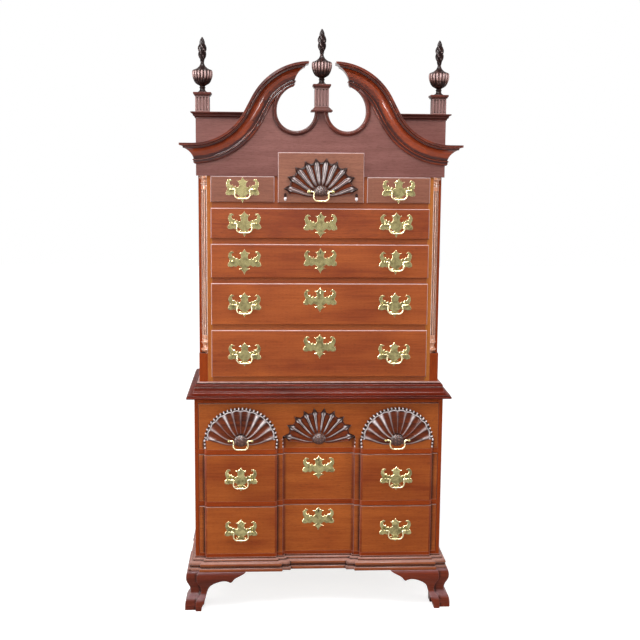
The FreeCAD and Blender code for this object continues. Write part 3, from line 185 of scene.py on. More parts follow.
def wear_and_light_group():
    """Paler edges, partly from rubbing and partly a painted highlight; darkening in the hollows,
    painted shade on wood and patina on brass; and a painted sheen, a painted highlight on what
    faces up or sideways.
    """
    tree, given, out = group(
        "edge wear and painted light",
        [("Color", COLOUR, (0.4, 0.1, 0.05, 1)), ("Roughness", NUMBER, 0.4),
         ("Rubbed And Lit", COLOUR, (0.6, 0.3, 0.2, 1)), ("Hollow", COLOUR, (0.02, 0.006, 0.004, 1)),
         ("Edge Reach", NUMBER, 0.002), ("Edge Share", NUMBER, 0.3),
         ("Hollow Reach", NUMBER, 0.012), ("Hollow Share", NUMBER, 0.6),
         ("Painted Sheen", COLOUR, (0.6, 0.42, 0.38, 1)), ("Painted Sheen Share", NUMBER, 0.0),
         ("Side Painted Sheen", NUMBER, 0.9), ("Wear And Highlight", NUMBER, 0.0)],
        [("Color", COLOUR), ("Roughness", NUMBER)])
    inner = place(tree, "ShaderNodeAmbientOcclusion", {"Distance": given["Edge Reach"]},
                  samples=5, inside=True, only_local=True).outputs["AO"]
    outer = place(tree, "ShaderNodeAmbientOcclusion", {"Distance": given["Hollow Reach"]},
                  samples=6, only_local=True).outputs["AO"]
    where = on_object(tree)
    patchy = spread(tree, noise(tree, where, (60.0, 60.0, 60.0), 3.0, 0.6), 0.35, 0.65)
    # Pale convex edges and the given mask: partly rubbing, partly painted highlight.
    edge = times(tree, spread(tree, inner, 0.85, 0.4), given["Edge Share"])
    edge = sums(tree, "MAXIMUM", edge, given["Wear And Highlight"])
    edge = times(tree, edge, spread(tree, patchy, 0.0, 1.0, 0.6, 1.0), clamp=True)
    # Painted shade: ambient occlusion darkens the hollows; on brass this stands for patina.
    hollow = times(tree, spread(tree, outer, 0.94, 0.5), given["Hollow Share"], clamp=True)
    # Painted sheen: a painted highlight on faces turned up, and by the side share on faces turned
    # sideways.
    normal = place(tree, "ShaderNodeSeparateXYZ",
                   {"Vector": place(tree, "ShaderNodeTexCoord").outputs["Normal"]}).outputs
    aside = times(tree, sums(tree, "ABSOLUTE", normal[0], 0.0), given["Side Painted Sheen"])
    facing = sums(tree, "MAXIMUM", normal[2], aside)
    painted_sheen = times(tree, spread(tree, facing, 0.2, 0.75), given["Painted Sheen Share"])
    painted_sheen = times(tree, painted_sheen, spread(tree, patchy, 0.0, 1.0, 0.75, 1.0), clamp=True)
    colour = blend(tree, painted_sheen, given["Color"], given["Painted Sheen"])
    colour = blend(tree, edge, colour, given["Rubbed And Lit"])
    colour = blend(tree, hollow, colour, given["Hollow"])
    tree.links.new(colour, out["Color"])
    rough = sums(tree, "ADD", given["Roughness"], times(tree, hollow, 0.25))
    rough = sums(tree, "SUBTRACT", rough, times(tree, edge, 0.08), clamp=True)
    tree.links.new(rough, out["Roughness"])
    return tree


def brass_group():
    """Old lacquered brass: greenish gold with brown spots."""
    tree, given, out = group(
        "old brass",
        [("Vector", VECTOR, None), ("Bright", COLOUR, (0.8, 0.62, 0.3, 1)),
         ("Dull", COLOUR, (0.35, 0.27, 0.1, 1)), ("Spots", COLOUR, (0.12, 0.08, 0.03, 1))],
        [("Color", COLOUR), ("Roughness", NUMBER), ("Height", NUMBER)])
    cloud = noise(tree, given["Vector"], (55.0, 55.0, 55.0), 3.0, 0.6, 0.5)
    speck = noise(tree, given["Vector"], (420.0, 420.0, 420.0), 2.0, 0.6)
    dent = noise(tree, given["Vector"], (160.0, 160.0, 160.0), 1.0, 0.5)
    colour = blend(tree, spread(tree, cloud, 0.35, 0.65), given["Bright"], given["Dull"])
    spots = times(tree, spread(tree, speck, 0.56, 0.7), 0.6)
    colour = blend(tree, spots, colour, given["Spots"])
    tree.links.new(colour, out["Color"])
    rough = spread(tree, cloud, 0.3, 0.7, 0.2, 0.36)
    rough = sums(tree, "ADD", rough, times(tree, spots, 0.3))
    tree.links.new(rough, out["Roughness"])
    tree.links.new(sums(tree, "SUBTRACT", dent, times(tree, spots, 0.4)),
                   out["Height"])
    return tree


WOOD_GRAIN = wood_grain_group()
WEAR_AND_LIGHT = wear_and_light_group()
OLD_BRASS = brass_group()


def start_material(name):
    material = bpy.data.materials.new(name)
    material.use_nodes = True
    tree = material.node_tree
    return material, tree, tree.nodes["Principled BSDF"]


def wear_and_light_over(tree, shader, colour, rough, settings):
    """Rubbing, painted highlights and painted shade laid over a colour and a roughness, on their
    way to the shader.
    """
    wear_and_highlight = place(tree, "ShaderNodeAttribute", attribute_name="wear_and_highlight").outputs["Fac"]
    worn_and_lit = place(tree, "ShaderNodeGroup",
                 {"Color": colour, "Roughness": rough, "Wear And Highlight": wear_and_highlight, **settings}, node_tree=WEAR_AND_LIGHT)
    tree.links.new(worn_and_lit.outputs["Color"], shader.inputs["Base Color"])
    tree.links.new(worn_and_lit.outputs["Roughness"], shader.inputs["Roughness"])


def bump_over(tree, shader, height, strength, deep):
    bumped = place(tree, "ShaderNodeBump",
                   {"Strength": strength, "Distance": deep, "Height": height})
    tree.links.new(bumped.outputs[0], shader.inputs["Normal"])


def wood(name, light, dark, coat=0.0, coat_rough=0.1, gloss=0.35, rough=0.0, pores=0.5,
         edge=0.3, edge_reach=0.002, hollow=0.6, reach=0.012, bump=0.15,
         rubbed_and_lit=(0.5, 0.22, 0.12), painted_sheen=0.0, painted_sheen_tint=(0.6, 0.42, 0.38), aside=0.9,
         hatch=0.0, clouds=0.0):
    """Stained and polished wood. rough is added to the roughness of its grain, edge and hollow
    are the shares of the pale edges, partly rubbing and partly painted highlight, and of the
    painted shade in the hollows; the sheen share is a painted highlight on what faces up, and
    aside its share on what faces sideways. hatch is the depth of crossed tool marks, and clouds
    how much the stain changes over a hand's breadth."""
    material, tree, shader = start_material(name)
    along = place(tree, "ShaderNodeAttribute", attribute_name="wood").outputs["Vector"]
    # The layer holds each board's own colour value, and also painted light and shade on carvings,
    # block shoulders and the cornice.
    tone_and_shading = place(tree, "ShaderNodeAttribute", attribute_name="tone_and_shading").outputs["Fac"]
    if clouds:
        where = on_object(tree)
        drift = spread(tree, noise(tree, where, (4.0, 4.0, 9.0), 2.0, 0.5), 0.3, 0.7,
                       -clouds, clouds)
        tone_and_shading = sums(tree, "ADD", tone_and_shading, drift)
    grain = place(tree, "ShaderNodeGroup",
                  {"Vector": along, "Tone And Shading": tone_and_shading, "Light": light + (1,), "Dark": dark + (1,),
                   "Pores": pores}, node_tree=WOOD_GRAIN).outputs
    wear_and_light_over(tree, shader, grain["Color"], sums(tree, "ADD", grain["Roughness"], rough),
              {"Rubbed And Lit": rubbed_and_lit + (1,), "Edge Share": edge, "Edge Reach": edge_reach,
               "Hollow Share": hollow, "Hollow Reach": reach, "Painted Sheen": painted_sheen_tint + (1,),
               "Painted Sheen Share": painted_sheen, "Side Painted Sheen": aside})
    height = grain["Height"]
    if hatch:
        where = on_object(tree)
        lines = []
        for turn in (0.6, -0.6):
            mapped = place(tree, "ShaderNodeMapping", {"Vector": where, "Rotation": (0, turn, 0)})
            lines.append(place(tree, "ShaderNodeTexWave",
                               {"Vector": mapped.outputs[0], "Scale": 55.0, "Distortion": 1.0},
                               bands_direction="X").outputs["Fac"])
        marks = sums(tree, "ADD", *lines)
        height = sums(tree, "ADD", height, times(tree, marks, hatch))
    bump_over(tree, shader, height, bump, 0.0006)
    shader.inputs["Specular IOR Level"].default_value = gloss
    shader.inputs["Coat Weight"].default_value = coat
    shader.inputs["Coat Roughness"].default_value = coat_rough
    return material


def brass(name, bright, dull, edge, hollow):
    """Old metal, polished back to the brass at its edges by use, with a painted highlight along
    the plates' filed edges, and dark with patina in its hollows.
    """
    material, tree, shader = start_material(name)
    where = on_object(tree)
    old = place(tree, "ShaderNodeGroup",
                {"Vector": where, "Bright": bright + (1,), "Dull": dull + (1,)},
                node_tree=OLD_BRASS).outputs
    wear_and_light_over(tree, shader, old["Color"], old["Roughness"],
              {"Rubbed And Lit": (0.78, 0.68, 0.42, 1), "Hollow": (0.05, 0.035, 0.012, 1),
               "Edge Reach": 0.0012, "Edge Share": edge, "Hollow Reach": 0.004,
               "Hollow Share": hollow})
    bump_over(tree, shader, old["Height"], 0.12, 0.0004)
    shader.inputs["Metallic"].default_value = 1.0
    return material


# The sheen on the fronts and blocks is a painted highlight on lip tops and sides, and their
# hollow shares paint shade into the concave corners, heaviest on the blocks' shoulders.
FRONT_WOOD = wood("polished mahogany fronts", (0.42, 0.1, 0.02), (0.2, 0.032, 0.006),
                  gloss=0.13, edge=0.5, hollow=0.85, rubbed_and_lit=(0.62, 0.36, 0.3), painted_sheen=0.95,
                  painted_sheen_tint=(0.72, 0.55, 0.55), clouds=1.3)
# Greyer, purplish colour: a painted reflection haze on the top row; its sheen is a painted
# highlight as on the other fronts.
TOP_WOOD = wood("top row fronts", (0.31, 0.12, 0.068), (0.17, 0.052, 0.032),
                gloss=0.15, edge=0.5, hollow=0.85, rubbed_and_lit=(0.62, 0.4, 0.36), painted_sheen=0.95,
                painted_sheen_tint=(0.72, 0.55, 0.55))
BLOCK_WOOD = wood("polished mahogany blocks", (0.42, 0.105, 0.018), (0.21, 0.034, 0.006),
                  gloss=0.1, edge=0.6, hollow=2.6, rubbed_and_lit=(0.66, 0.42, 0.36), painted_sheen=0.95,
                  painted_sheen_tint=(0.66, 0.46, 0.42), aside=0.3, clouds=1.3)
RAIL_WOOD = wood("polished mahogany rails", (0.38, 0.1, 0.024), (0.21, 0.04, 0.01),
                 gloss=0.12, edge=0.3, hollow=1.0, reach=0.014, painted_sheen=0.1)
# Lighter orange than the case: painted light on the stiles.
STILE_WOOD = wood("orange mahogany stiles", (0.5, 0.17, 0.03), (0.31, 0.075, 0.012),
                  gloss=0.1, edge=0.3, hollow=1.0, reach=0.014, painted_sheen=0.1)
CASE_WOOD = wood("polished mahogany case", (0.36, 0.06, 0.009), (0.18, 0.022, 0.004),
                 gloss=0.05, edge=0.35, hollow=0.95, painted_sheen=0.1)
# Pale pink colour and bright edges: a painted highlight down the columns; the hollow share paints
# shade in the flutes.
COLUMN_WOOD = wood("column mahogany with painted highlight", (0.66, 0.28, 0.14), (0.46, 0.14, 0.05), 0.5, 0.08,
                   gloss=0.15, edge=1.0, edge_reach=0.003, hollow=2.4, reach=0.006,
                   rubbed_and_lit=(0.9, 0.78, 0.72), painted_sheen=0.1)
# Greyish-purple colour: a painted reflection of pale light on the board.
PEDIMENT_WOOD = wood("pediment mahogany", (0.24, 0.1, 0.085), (0.14, 0.048, 0.04),
                     gloss=0.08, edge=0.3, hollow=0.9, painted_sheen=0.1, clouds=1.6)
MOULDING_WOOD = wood("dark polished mouldings", (0.46, 0.065, 0.01), (0.055, 0.006, 0.003),
                     0.5, 0.07, gloss=0.03, edge=0.4, edge_reach=0.0015, hollow=1.4,
                     reach=0.01, rubbed_and_lit=(0.6, 0.34, 0.28))
# Its pale edge colour carries the painted highlights along the waist moulding.
WAIST_WOOD = wood("waist moulding mahogany", (0.26, 0.026, 0.006), (0.07, 0.006, 0.002),
                  0.1, 0.06, gloss=0.02, edge=0.8, edge_reach=0.0012, hollow=1.8,
                  reach=0.008, rubbed_and_lit=(0.6, 0.4, 0.36))
# The sheen paints a highlight on the top of the base moulding and on the knees of the feet.
BASE_WOOD = wood("base moulding mahogany", (0.4, 0.11, 0.03), (0.2, 0.035, 0.008),
                 0.2, 0.06, gloss=0.08, edge=0.5, hollow=1.8, reach=0.01,
                 rubbed_and_lit=(0.62, 0.42, 0.38), painted_sheen=0.55, painted_sheen_tint=(0.58, 0.38, 0.34))
FOOT_WOOD = wood("foot mahogany", (0.24, 0.036, 0.012), (0.07, 0.01, 0.004),
                 0.15, 0.06, gloss=0.04, edge=0.5, hollow=1.8, reach=0.014,
                 rubbed_and_lit=(0.46, 0.28, 0.26), painted_sheen=0.35, painted_sheen_tint=(0.46, 0.34, 0.38),
                 aside=0.0)
TRIM_WOOD = wood("near black trim", (0.15, 0.026, 0.014), (0.035, 0.007, 0.005),
                 0.12, 0.05, gloss=0.06, edge=0.6, hollow=1.0, reach=0.006,
                 rubbed_and_lit=(0.3, 0.17, 0.16), painted_sheen=0.1)
# The pale edge colour of carvings and finials is that of their painted highlights.
CARVED_WOOD = wood("carved mahogany", (0.34, 0.06, 0.014), (0.022, 0.004, 0.002),
                   0.08, 0.05, gloss=0.05, edge=0.2, hollow=0.9, reach=0.006, bump=0.2,
                   rubbed_and_lit=(0.9, 0.8, 0.8))
FINIAL_WOOD = wood("dark carved finials", (0.3, 0.12, 0.09), (0.008, 0.002, 0.002),
                   0.06, 0.06, gloss=0.05, edge=0.15, hollow=1.0, reach=0.005, bump=0.2,
                   rubbed_and_lit=(0.7, 0.5, 0.48))
FLUTED_WOOD = wood("fluted plinths", (0.36, 0.2, 0.18), (0.22, 0.11, 0.1), 0.1, 0.1,
                   gloss=0.1, edge=0.5, hollow=1.0, reach=0.005, rubbed_and_lit=(0.55, 0.38, 0.36))
HUB_WOOD = wood("tooled hub", (0.2, 0.05, 0.028), (0.04, 0.01, 0.006),
                0.4, 0.1, gloss=0.2, edge=0.4, hollow=0.95, reach=0.006, bump=0.9, hatch=1.2)
PLAIN_WOOD = wood("drawer linings", (0.55, 0.36, 0.17), (0.4, 0.24, 0.1), gloss=0.25,
                  rough=0.15, pores=0.2, edge=0.15, hollow=0.3, rubbed_and_lit=(0.6, 0.45, 0.25))
BRASS = brass("old brass plates", (0.34, 0.3, 0.14), (0.12, 0.1, 0.045), 0.5, 1.0)
BAIL_BRASS = brass("handled brass", (0.62, 0.54, 0.35), (0.36, 0.3, 0.16), 0.5, 0.6)
IRON = brass("old iron", (0.045, 0.04, 0.036), (0.02, 0.017, 0.015), 0.0, 0.8)


# -------------------- pieces from the solids
SAME_POINT = 1e-6  # m
ALIKE_FACES = math.radians(0.3)
SOFTENED_EDGES = math.radians(35.0)
SHARP_EDGES = math.radians(32.0)
FACING_FRONT = -0.999  # y of the normal of a face at the front
FLAT_AREA = 1e-5  # m2, front faces above this are shaded flat
BOARD_STEP = 7  # between the seeds of two boards
GRAIN_SEEDS = itertools.count(0, 41)  # the next one for every dressed node
GRAIN_SPAN = 9.0  # m of pattern that the boards are cut from


def closed_solids(bm):
    """Faces of each closed solid of a node, in their order in its mesh."""
    found, faces, waiting = [], [], set()
    for face in bm.faces:
        corners = [tuple(round(value, 6) for value in vert.co) for vert in face.verts]
        for one, two in zip(corners, corners[1:] + corners[:1]):
            if one == two:
                continue
            if (two, one) in waiting:
                waiting.remove((two, one))
            else:
                waiting.add((one, two))
        faces.append(face)
        if not waiting:
            found.append(faces)
            faces = []
    return found


def box_of(verts):
    """Lowest and highest corner of some vertices."""
    low = Vector([min(vert.co[axis] for vert in verts) for axis in range(3)])
    high = Vector([max(vert.co[axis] for vert in verts) for axis in range(3)])
    return low, high


def scatter(number, step):
    """A number from 0 to 1 that looks random and is the same every time."""
    return math.modf(abs(math.sin(number * 12.9898 + step * 78.233)) * 43758.5453)[0]


def run_grain(bm, seed, boards, choose=None, toned=True):
    """Lay the grain along every board, and give each its own place in the pattern and, if
    toned, its own tone. choose(face, low, high, axis) may pick another axis for the grain."""
    along = bm.loops.layers.float_vector.new("wood")
    tone_and_shading = bm.faces.layers.float.new("tone_and_shading") if toned else None
    spans = {}
    for face in bm.faces:
        low, high = spans.setdefault(face[boards], [face.verts[0].co.copy(),
                                                    face.verts[0].co.copy()])
        for vert in face.verts:
            for axis in range(3):
                low[axis] = min(low[axis], vert.co[axis])
                high[axis] = max(high[axis], vert.co[axis])
    for face in bm.faces:
        index = face[boards]
        low, high = spans[index]
        size = high - low
        axis = max(range(3), key=lambda value: size[value])
        if choose is not None:
            axis = choose(face, low, high, axis)
        number = seed + BOARD_STEP * index
        shift = Vector([scatter(number, step) for step in (1, 2, 3)]) * GRAIN_SPAN
        if toned:
            face[tone_and_shading] = 2.0 * scatter(number, 4) - 1.0
        for loop in face.loops:
            point = loop.vert.co
            turned = (point[axis], point[(axis + 1) % 3], point[(axis + 2) % 3])
            loop[along] = Vector(turned) + shift


def finish_piece(bm, name, body, materials, nodes=()):
    """Object that rides on a body, and takes the place of its nodes."""
    mesh = bpy.data.meshes.new(name)
    bm.to_mesh(mesh)
    bm.free()
    piece = add_object(name, mesh)
    for material in materials:
        mesh.materials.append(material)
    mesh.shade_smooth()
    mesh.set_sharp_from_angle(angle=SHARP_EDGES)
    for polygon in mesh.polygons:
        if polygon.normal.y < FACING_FRONT and polygon.area > FLAT_AREA:
            polygon.use_smooth = False
    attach(piece, body)
    if nodes:
        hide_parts(*nodes)


def joined(edges):
    """Groups of edges that hang together."""
    waiting, groups = set(edges), []
    while waiting:
        found, reached = [], [waiting.pop()]
        while reached:
            edge = reached.pop()
            found.append(edge)
            near = {other for vert in edge.verts for other in vert.link_edges} & waiting
            waiting -= near
            reached.extend(near)
        groups.append(found)
    return groups


PLATE_AREA = 2e-5  # m2, smallest face that counts as a plate's front
PLATE_BEVEL, PLATE_SET_BACK = 0.0008, 0.0007
PLATE_LEAST_WIDTH = 0.012  # narrower outlines are the holes in a plate


def file_plates(bm):
    """Filed bevel round the front of every brass plate, with a painted highlight along its edge.
    The iron locks have none."""
    wear_and_highlight = bm.verts.layers.float.new("wear_and_highlight")
    fronts = {}
    for face in bm.faces:
        front = face.normal.y < FACING_FRONT and face.calc_area() > PLATE_AREA
        if front and face.material_index == 0:
            fronts.setdefault(round(face.verts[0].co.y, 4), []).append(face)
    for faces in fronts.values():
        ring = bmesh.ops.inset_region(bm, faces=faces, thickness=PLATE_BEVEL, depth=0.0,
                                      use_even_offset=True, use_boundary=True)["faces"]
        inner = {vert for face in faces for vert in face.verts}
        outer = {edge for face in ring for edge in face.edges if not inner & set(edge.verts)}
        for edges in joined(outer):
            verts = {vert for edge in edges for vert in edge.verts}
            low, high = box_of(verts)
            if high.x - low.x > PLATE_LEAST_WIDTH:
                # Set back into the bevel, with a painted highlight.
                for vert in verts:
                    vert.co.y += PLATE_SET_BACK
                    vert[wear_and_highlight] = 1.0


WAIST_HIGHLIGHTS = [(37.5, 42.5, 0.45), (54.5, 63.0, 0.7)]  # painted highlight bands: from, to in mm, and how bright


def paint_waist_highlights(bm):
    """The fillet over the cove and the edge at the top get painted highlights."""
    wear_and_highlight = bm.verts.layers.float.new("wear_and_highlight")
    foot = min(vert.co.z for vert in bm.verts)
    for vert in bm.verts:
        height = (vert.co.z - foot) / MM
        for low, high, lit_share in WAIST_HIGHLIGHTS:
            if low < height < high:
                vert[wear_and_highlight] = lit_share


def dressed(node, body, materials, soft=0.0, choose=None, keep=None, pick=None,
            tone_and_shading=None, shape=None):
    """Merged copy of a node in its place, with softened edges and the grain laid along each
    board.
    keep and pick go by a solid's box: whether it stays, and which material it gets. shape
    changes the copy, carving it and painting highlights on it, and the last function gives
    each face its colour value with painted light and shade."""
    bm = bmesh.new()
    bm.from_mesh(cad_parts[node].data)
    for face in bm.faces:
        face.material_index = 0
    boards = bm.faces.layers.int.new("board")
    solids = closed_solids(bm)
    for index, faces in enumerate(solids):
        for face in faces:
            face[boards] = index
    for index, faces in enumerate(solids):
        verts = list(dict.fromkeys(vert for face in faces for vert in face.verts))
        low, high = box_of(verts)
        if keep is not None and not keep(low, high):
            bmesh.ops.delete(bm, geom=verts, context="VERTS")
            continue
        if pick is not None:
            for face in faces:
                face.material_index = pick(low, high)
        bmesh.ops.remove_doubles(bm, verts=verts, dist=SAME_POINT)
    bmesh.ops.dissolve_limit(bm, angle_limit=ALIKE_FACES, verts=bm.verts, edges=bm.edges,
                             delimit={"NORMAL"})
    if shape is not None:
        shape(bm)
    if soft:
        edges = [edge for edge in bm.edges if len(edge.link_faces) == 2 and edge.is_convex
                 and edge.calc_face_angle(0.0) > SOFTENED_EDGES]
        bmesh.ops.bevel(bm, geom=edges, offset=soft, affect="EDGES", segments=2, profile=0.5,
                        material=-1, clamp_overlap=False)
    run_grain(bm, next(GRAIN_SEEDS), boards, choose)
    if tone_and_shading is not None:
        layer = bm.faces.layers.float["tone_and_shading"]
        for face in bm.faces:
            face[layer] = tone_and_shading(face)
    finish_piece(bm, "dressed_" + node, body, materials, [node])


def round_sides(face, low, high, axis):
    """Grain of a moulding that goes round three sides: with each run."""
    centre = face.calc_center_median()
    left, right = abs(centre.x - low.x), abs(centre.x - high.x)
    front = abs(centre.y - low.y)
    return 1 if min(left, right) < front else 0


def lengthwise(axis):
    """Grain along one axis, whatever the board."""
    return lambda face, low, high, longest: axis


# -------------------- the case
COLUMN_PLINTH_TOP = 0.97  # m, no plinth under a column reaches higher
COLUMN_PLINTH_HIGH = 0.06  # m, but each is taller than this
COLUMN_JOINT = (0.149, 0.1591, -7.0)  # from, to in m over the columns' foot, and its tone


def column_finish(low, high):
    """The plinths under the columns are of the case's wood."""
    return 1 if high.z < COLUMN_PLINTH_TOP and high.z - low.z > COLUMN_PLINTH_HIGH else 0


def column_tone():
    """Dark joint between the plinth of a column and its turned base."""
    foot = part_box("quarter_columns")[0].z
    start, end, dark = COLUMN_JOINT

    def tone_and_shading(face):
        return dark if start < face.calc_center_median().z - foot < end else 0.0
    return tone_and_shading


# Distance out from the pediment board in mm, and up to there the value that paints shade in the
# hollows and fillets and light on the middle of the cove.
CORNICE_BANDS = [(8.2, -1.6), (10.5, -3.5), (13.0, -1.2), (26.0, 0.7), (34.0, -0.6),
                 (40.5, -2.2), (43.5, -5.0), (51.0, -1.2), (53.5, -4.0), (57.0, -1.8)]
CORNICE_REACH = 56.0
CORNICE_TOP_SPAN, CORNICE_TOP_TONE = 20.0, -1.8


def cornice_shading():
    """Painted shade in the hollows and fillets, and painted light on the cove. The faces on top
    span most of the cornice's reach, and share one value."""
    low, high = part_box("scroll_cornice")

    def out(point):
        return CORNICE_REACH - min(point.y - low.y, high.x - abs(point.x)) / MM

    def tone_and_shading(face):
        places = [out(vert.co) for vert in face.verts]
        if max(places) - min(places) > CORNICE_TOP_SPAN:
            return CORNICE_TOP_TONE
        centre = out(face.calc_center_median())
        return next(value for limit, value in CORNICE_BANDS if centre < limit)
    return tone_and_shading


# In m: the side boards of the case by their size and place, its top, and the stiles.
THICKEST_BOARD, SIDE_LEAST_DEPTH, SIDE_LEAST_REACH = 0.03, 0.4, 0.42
TOP_ZONE = 0.05
STILE_LEAST_HEIGHT = 0.5


def carcase_finish(low, high):
    """Sides and top are polished; the boards inside and behind are left plain."""
    side = (high.x - low.x < THICKEST_BOARD and high.y - low.y > SIDE_LEAST_DEPTH
            and max(-low.x, high.x) > SIDE_LEAST_REACH)
    top = low.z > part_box("upper_carcase")[1].z - TOP_ZONE
    return 0 if side or top else 1


def frame_finish(low, high):
    """Stiles and rails."""
    return 1 if high.z - low.z > STILE_LEAST_HEIGHT else 0


def dress_case():
    dressed("lower_carcase", "case", [CASE_WOOD, PLAIN_WOOD], 0.0008,
            pick=carcase_finish)
    dressed("lower_drawer_frame", "case", [CASE_WOOD], 0.0006)
    dressed("base_moulding", "case", [BASE_WOOD], choose=round_sides)
    dressed("bracket_feet", "case", [FOOT_WOOD], 0.0008)
    dressed("waist_moulding", "case", [WAIST_WOOD], choose=round_sides,
            shape=paint_waist_highlights)
    dressed("upper_carcase", "case", [CASE_WOOD, PLAIN_WOOD], 0.0008,
            pick=carcase_finish)
    dressed("upper_drawer_frame", "case", [RAIL_WOOD, STILE_WOOD], 0.0006,
            pick=frame_finish)
    dressed("quarter_columns", "case", [COLUMN_WOOD, CASE_WOOD], 0.0003,
            lengthwise(2), pick=column_finish, tone_and_shading=column_tone())
    dressed("pediment_board", "case", [PEDIMENT_WOOD], 0.0006)
    dressed("scroll_cornice", "case", [MOULDING_WOOD], tone_and_shading=cornice_shading())
    dressed("pediment_trim", "case", [TRIM_WOOD])


# -------------------- finials
# Radius and height of the turned forms, in mm.
URN = [(0, 0), (16.5, 0), (17, 1.5), (16.5, 3), (14, 4), (11.5, 6), (9.5, 10), (9, 14),
       (10.5, 15.5), (11, 17), (10.5, 18.5), (9.2, 20), (9.2, 21.5), (10.8, 24), (17, 27),
       (24, 31.5), (29, 38), (33, 47), (35.8, 56), (37, 64), (36.8, 70), (36, 75),
       (34, 78), (31, 79.5), (27, 80.7), (20, 84), (15, 88), (11, 92), (8, 97), (6.4, 102),
       (6.1, 106)]
FLAME = [(6.1, 105), (7.2, 109), (9.6, 115), (12, 121), (13.8, 127), (15.2, 135), (16.2, 143),
         (16.4, 150), (15.4, 158), (13.4, 166), (10.8, 174), (8.2, 181), (5.4, 187), (2.6, 192),
         (0, 194)]
GADROONS = 18
FLAME_FOOT, FLAME_TWIST = 103.0, 0.058  # mm, and radians for each mm up


def carving_layers(bm):
    """Layers for a carving's colour value, with its painted light and shade, and for its painted
    highlights.
    """
    return bm.verts.layers.float.new("tone_and_shading"), bm.verts.layers.float.new("wear_and_highlight")


def spun(points, steps):
    """Turned form about the upright through the origin."""
    bm = bmesh.new()
    verts = [bm.verts.new((radius * MM, 0, height * MM)) for radius, height in points]
    edges = [bm.edges.new(pair) for pair in zip(verts, verts[1:])]
    bmesh.ops.spin(bm, geom=verts + edges, cent=(0, 0, 0), axis=(0, 0, 1),
                   angle=2.0 * math.pi, steps=steps, use_merge=True)
    bmesh.ops.remove_doubles(bm, verts=bm.verts, dist=SAME_POINT)
    return bm


def swell(height, low, high):
    """0 outside the two heights, 1 in their middle."""
    if not low < height < high:
        return 0.0
    return math.sin(math.pi * (height - low) / (high - low))


def ease(value, low, high):
    """Smooth step from 0 at low to 1 at high."""
    share = min(1.0, max(0.0, (value - low) / (high - low)))
    return share * share * (3.0 - 2.0 * share)


LEVEL_RING = 1e-4  # m, edges of a ring rise less than this


def cut_closer(bm, cuts):
    """More rings between the turned form's own, for carving."""
    steep = [edge for edge in bm.edges
             if abs(edge.verts[0].co.z - edge.verts[1].co.z) > LEVEL_RING]
    bmesh.ops.subdivide_edges(bm, edges=steep, cuts=cuts, use_grid_fill=True)


def urn():
    """Gadrooned bowl on a turned foot, with a carved spiral flame. All heights are in mm."""
    bowl = spun(URN, 8 * GADROONS)
    tone_and_shading, wear_and_highlight = carving_layers(bowl)
    for vert in bowl.verts:
        height = vert.co.z / MM
        turn = math.atan2(vert.co.y, vert.co.x)
        groove = 1.0 - abs(math.sin(0.5 * GADROONS * turn))
        leaf = ease(height, 36.0, 46.0) * (1.0 - ease(height, 75.0, 80.0))
        carved = 0.13 * leaf * groove + 0.06 * swell(height, 24.0, 40.0) * groove
        lobe = (1.0 - groove) ** 2.0 * ease(height, 42.0, 56.0) * (1.0 - ease(height, 72.0, 77.0))
        # Painted highlight down each gadroon, painted shade in the grooves.
        vert[tone_and_shading] = 5.0 * lobe - 2.6
        vert[wear_and_highlight] = lobe * ease(height, 50.0, 60.0)
        vert.co.x *= 1.0 - carved
        vert.co.y *= 1.0 - carved
    flame = spun(FLAME, 60)
    cut_closer(flame, 2)
    tone_and_shading, wear_and_highlight = carving_layers(flame)
    for vert in flame.verts:
        height = vert.co.z / MM
        turn = math.atan2(vert.co.y, vert.co.x) + FLAME_TWIST * (height - FLAME_FOOT)
        ridge = abs(math.cos(2.0 * turn)) ** 1.5
        carved = 0.42 * (1.0 - ridge) * min(1.0, (height - FLAME_FOOT) / 12.0)
        vert[tone_and_shading] = -2.9
        # Painted glints along the ridges of the flame.
        spot = max(0.0, math.sin(0.9 * height + 3.0 * turn)) ** 3.0
        vert[wear_and_highlight] = 0.8 * ridge ** 10.0 * swell(height, 112.0, 180.0) * spot
        vert.co.x *= 1.0 - carved
        vert.co.y *= 1.0 - carved
    holder = bpy.data.meshes.new("flame")
    flame.to_mesh(holder)
    flame.free()
    bowl.from_mesh(holder)
    return bowl


SHAFT_LEAST_HEIGHT = 0.05  # m, plinth caps and feet are lower
TURNED_LEAST_HEIGHT = 0.15  # m, the solids' own urns with their flames are taller
FINIAL_INSET = 0.037  # m, middle of a side urn in from the plinth's side
SIDE_URN_Y, SIDE_URN_Z = -0.1855, 1.909
MIDDLE_URN = (0.0, -0.209, 1.940)


def plinth_finish(low, high):
    """Plinth shafts are fluted and pale, the caps and feet dark."""
    return 1 if high.z - low.z > SHAFT_LEAST_HEIGHT else 0


def is_plinth(low, high):
    """The plain urns of the solids make way for the carved ones."""
    return high.z - low.z < TURNED_LEAST_HEIGHT


def add_finials():
    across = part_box("finials")[1].x - FINIAL_INSET
    for name, at in (("left", (-across, SIDE_URN_Y, SIDE_URN_Z)),
                     ("right", (across, SIDE_URN_Y, SIDE_URN_Z)), ("middle", MIDDLE_URN)):
        bm = urn()
        bmesh.ops.translate(bm, verts=bm.verts, vec=at)
        bmesh.ops.recalc_face_normals(bm, faces=bm.faces)
        boards = bm.faces.layers.int.new("board")
        run_grain(bm, 900 + len(name), boards, lengthwise(2), toned=False)
        finish_piece(bm, "finial_" + name, "case", [FINIAL_WOOD])
    dressed("finials", "case", [TRIM_WOOD, FLUTED_WOOD], 0.0008,
            lengthwise(2), keep=is_plinth, pick=plinth_finish)


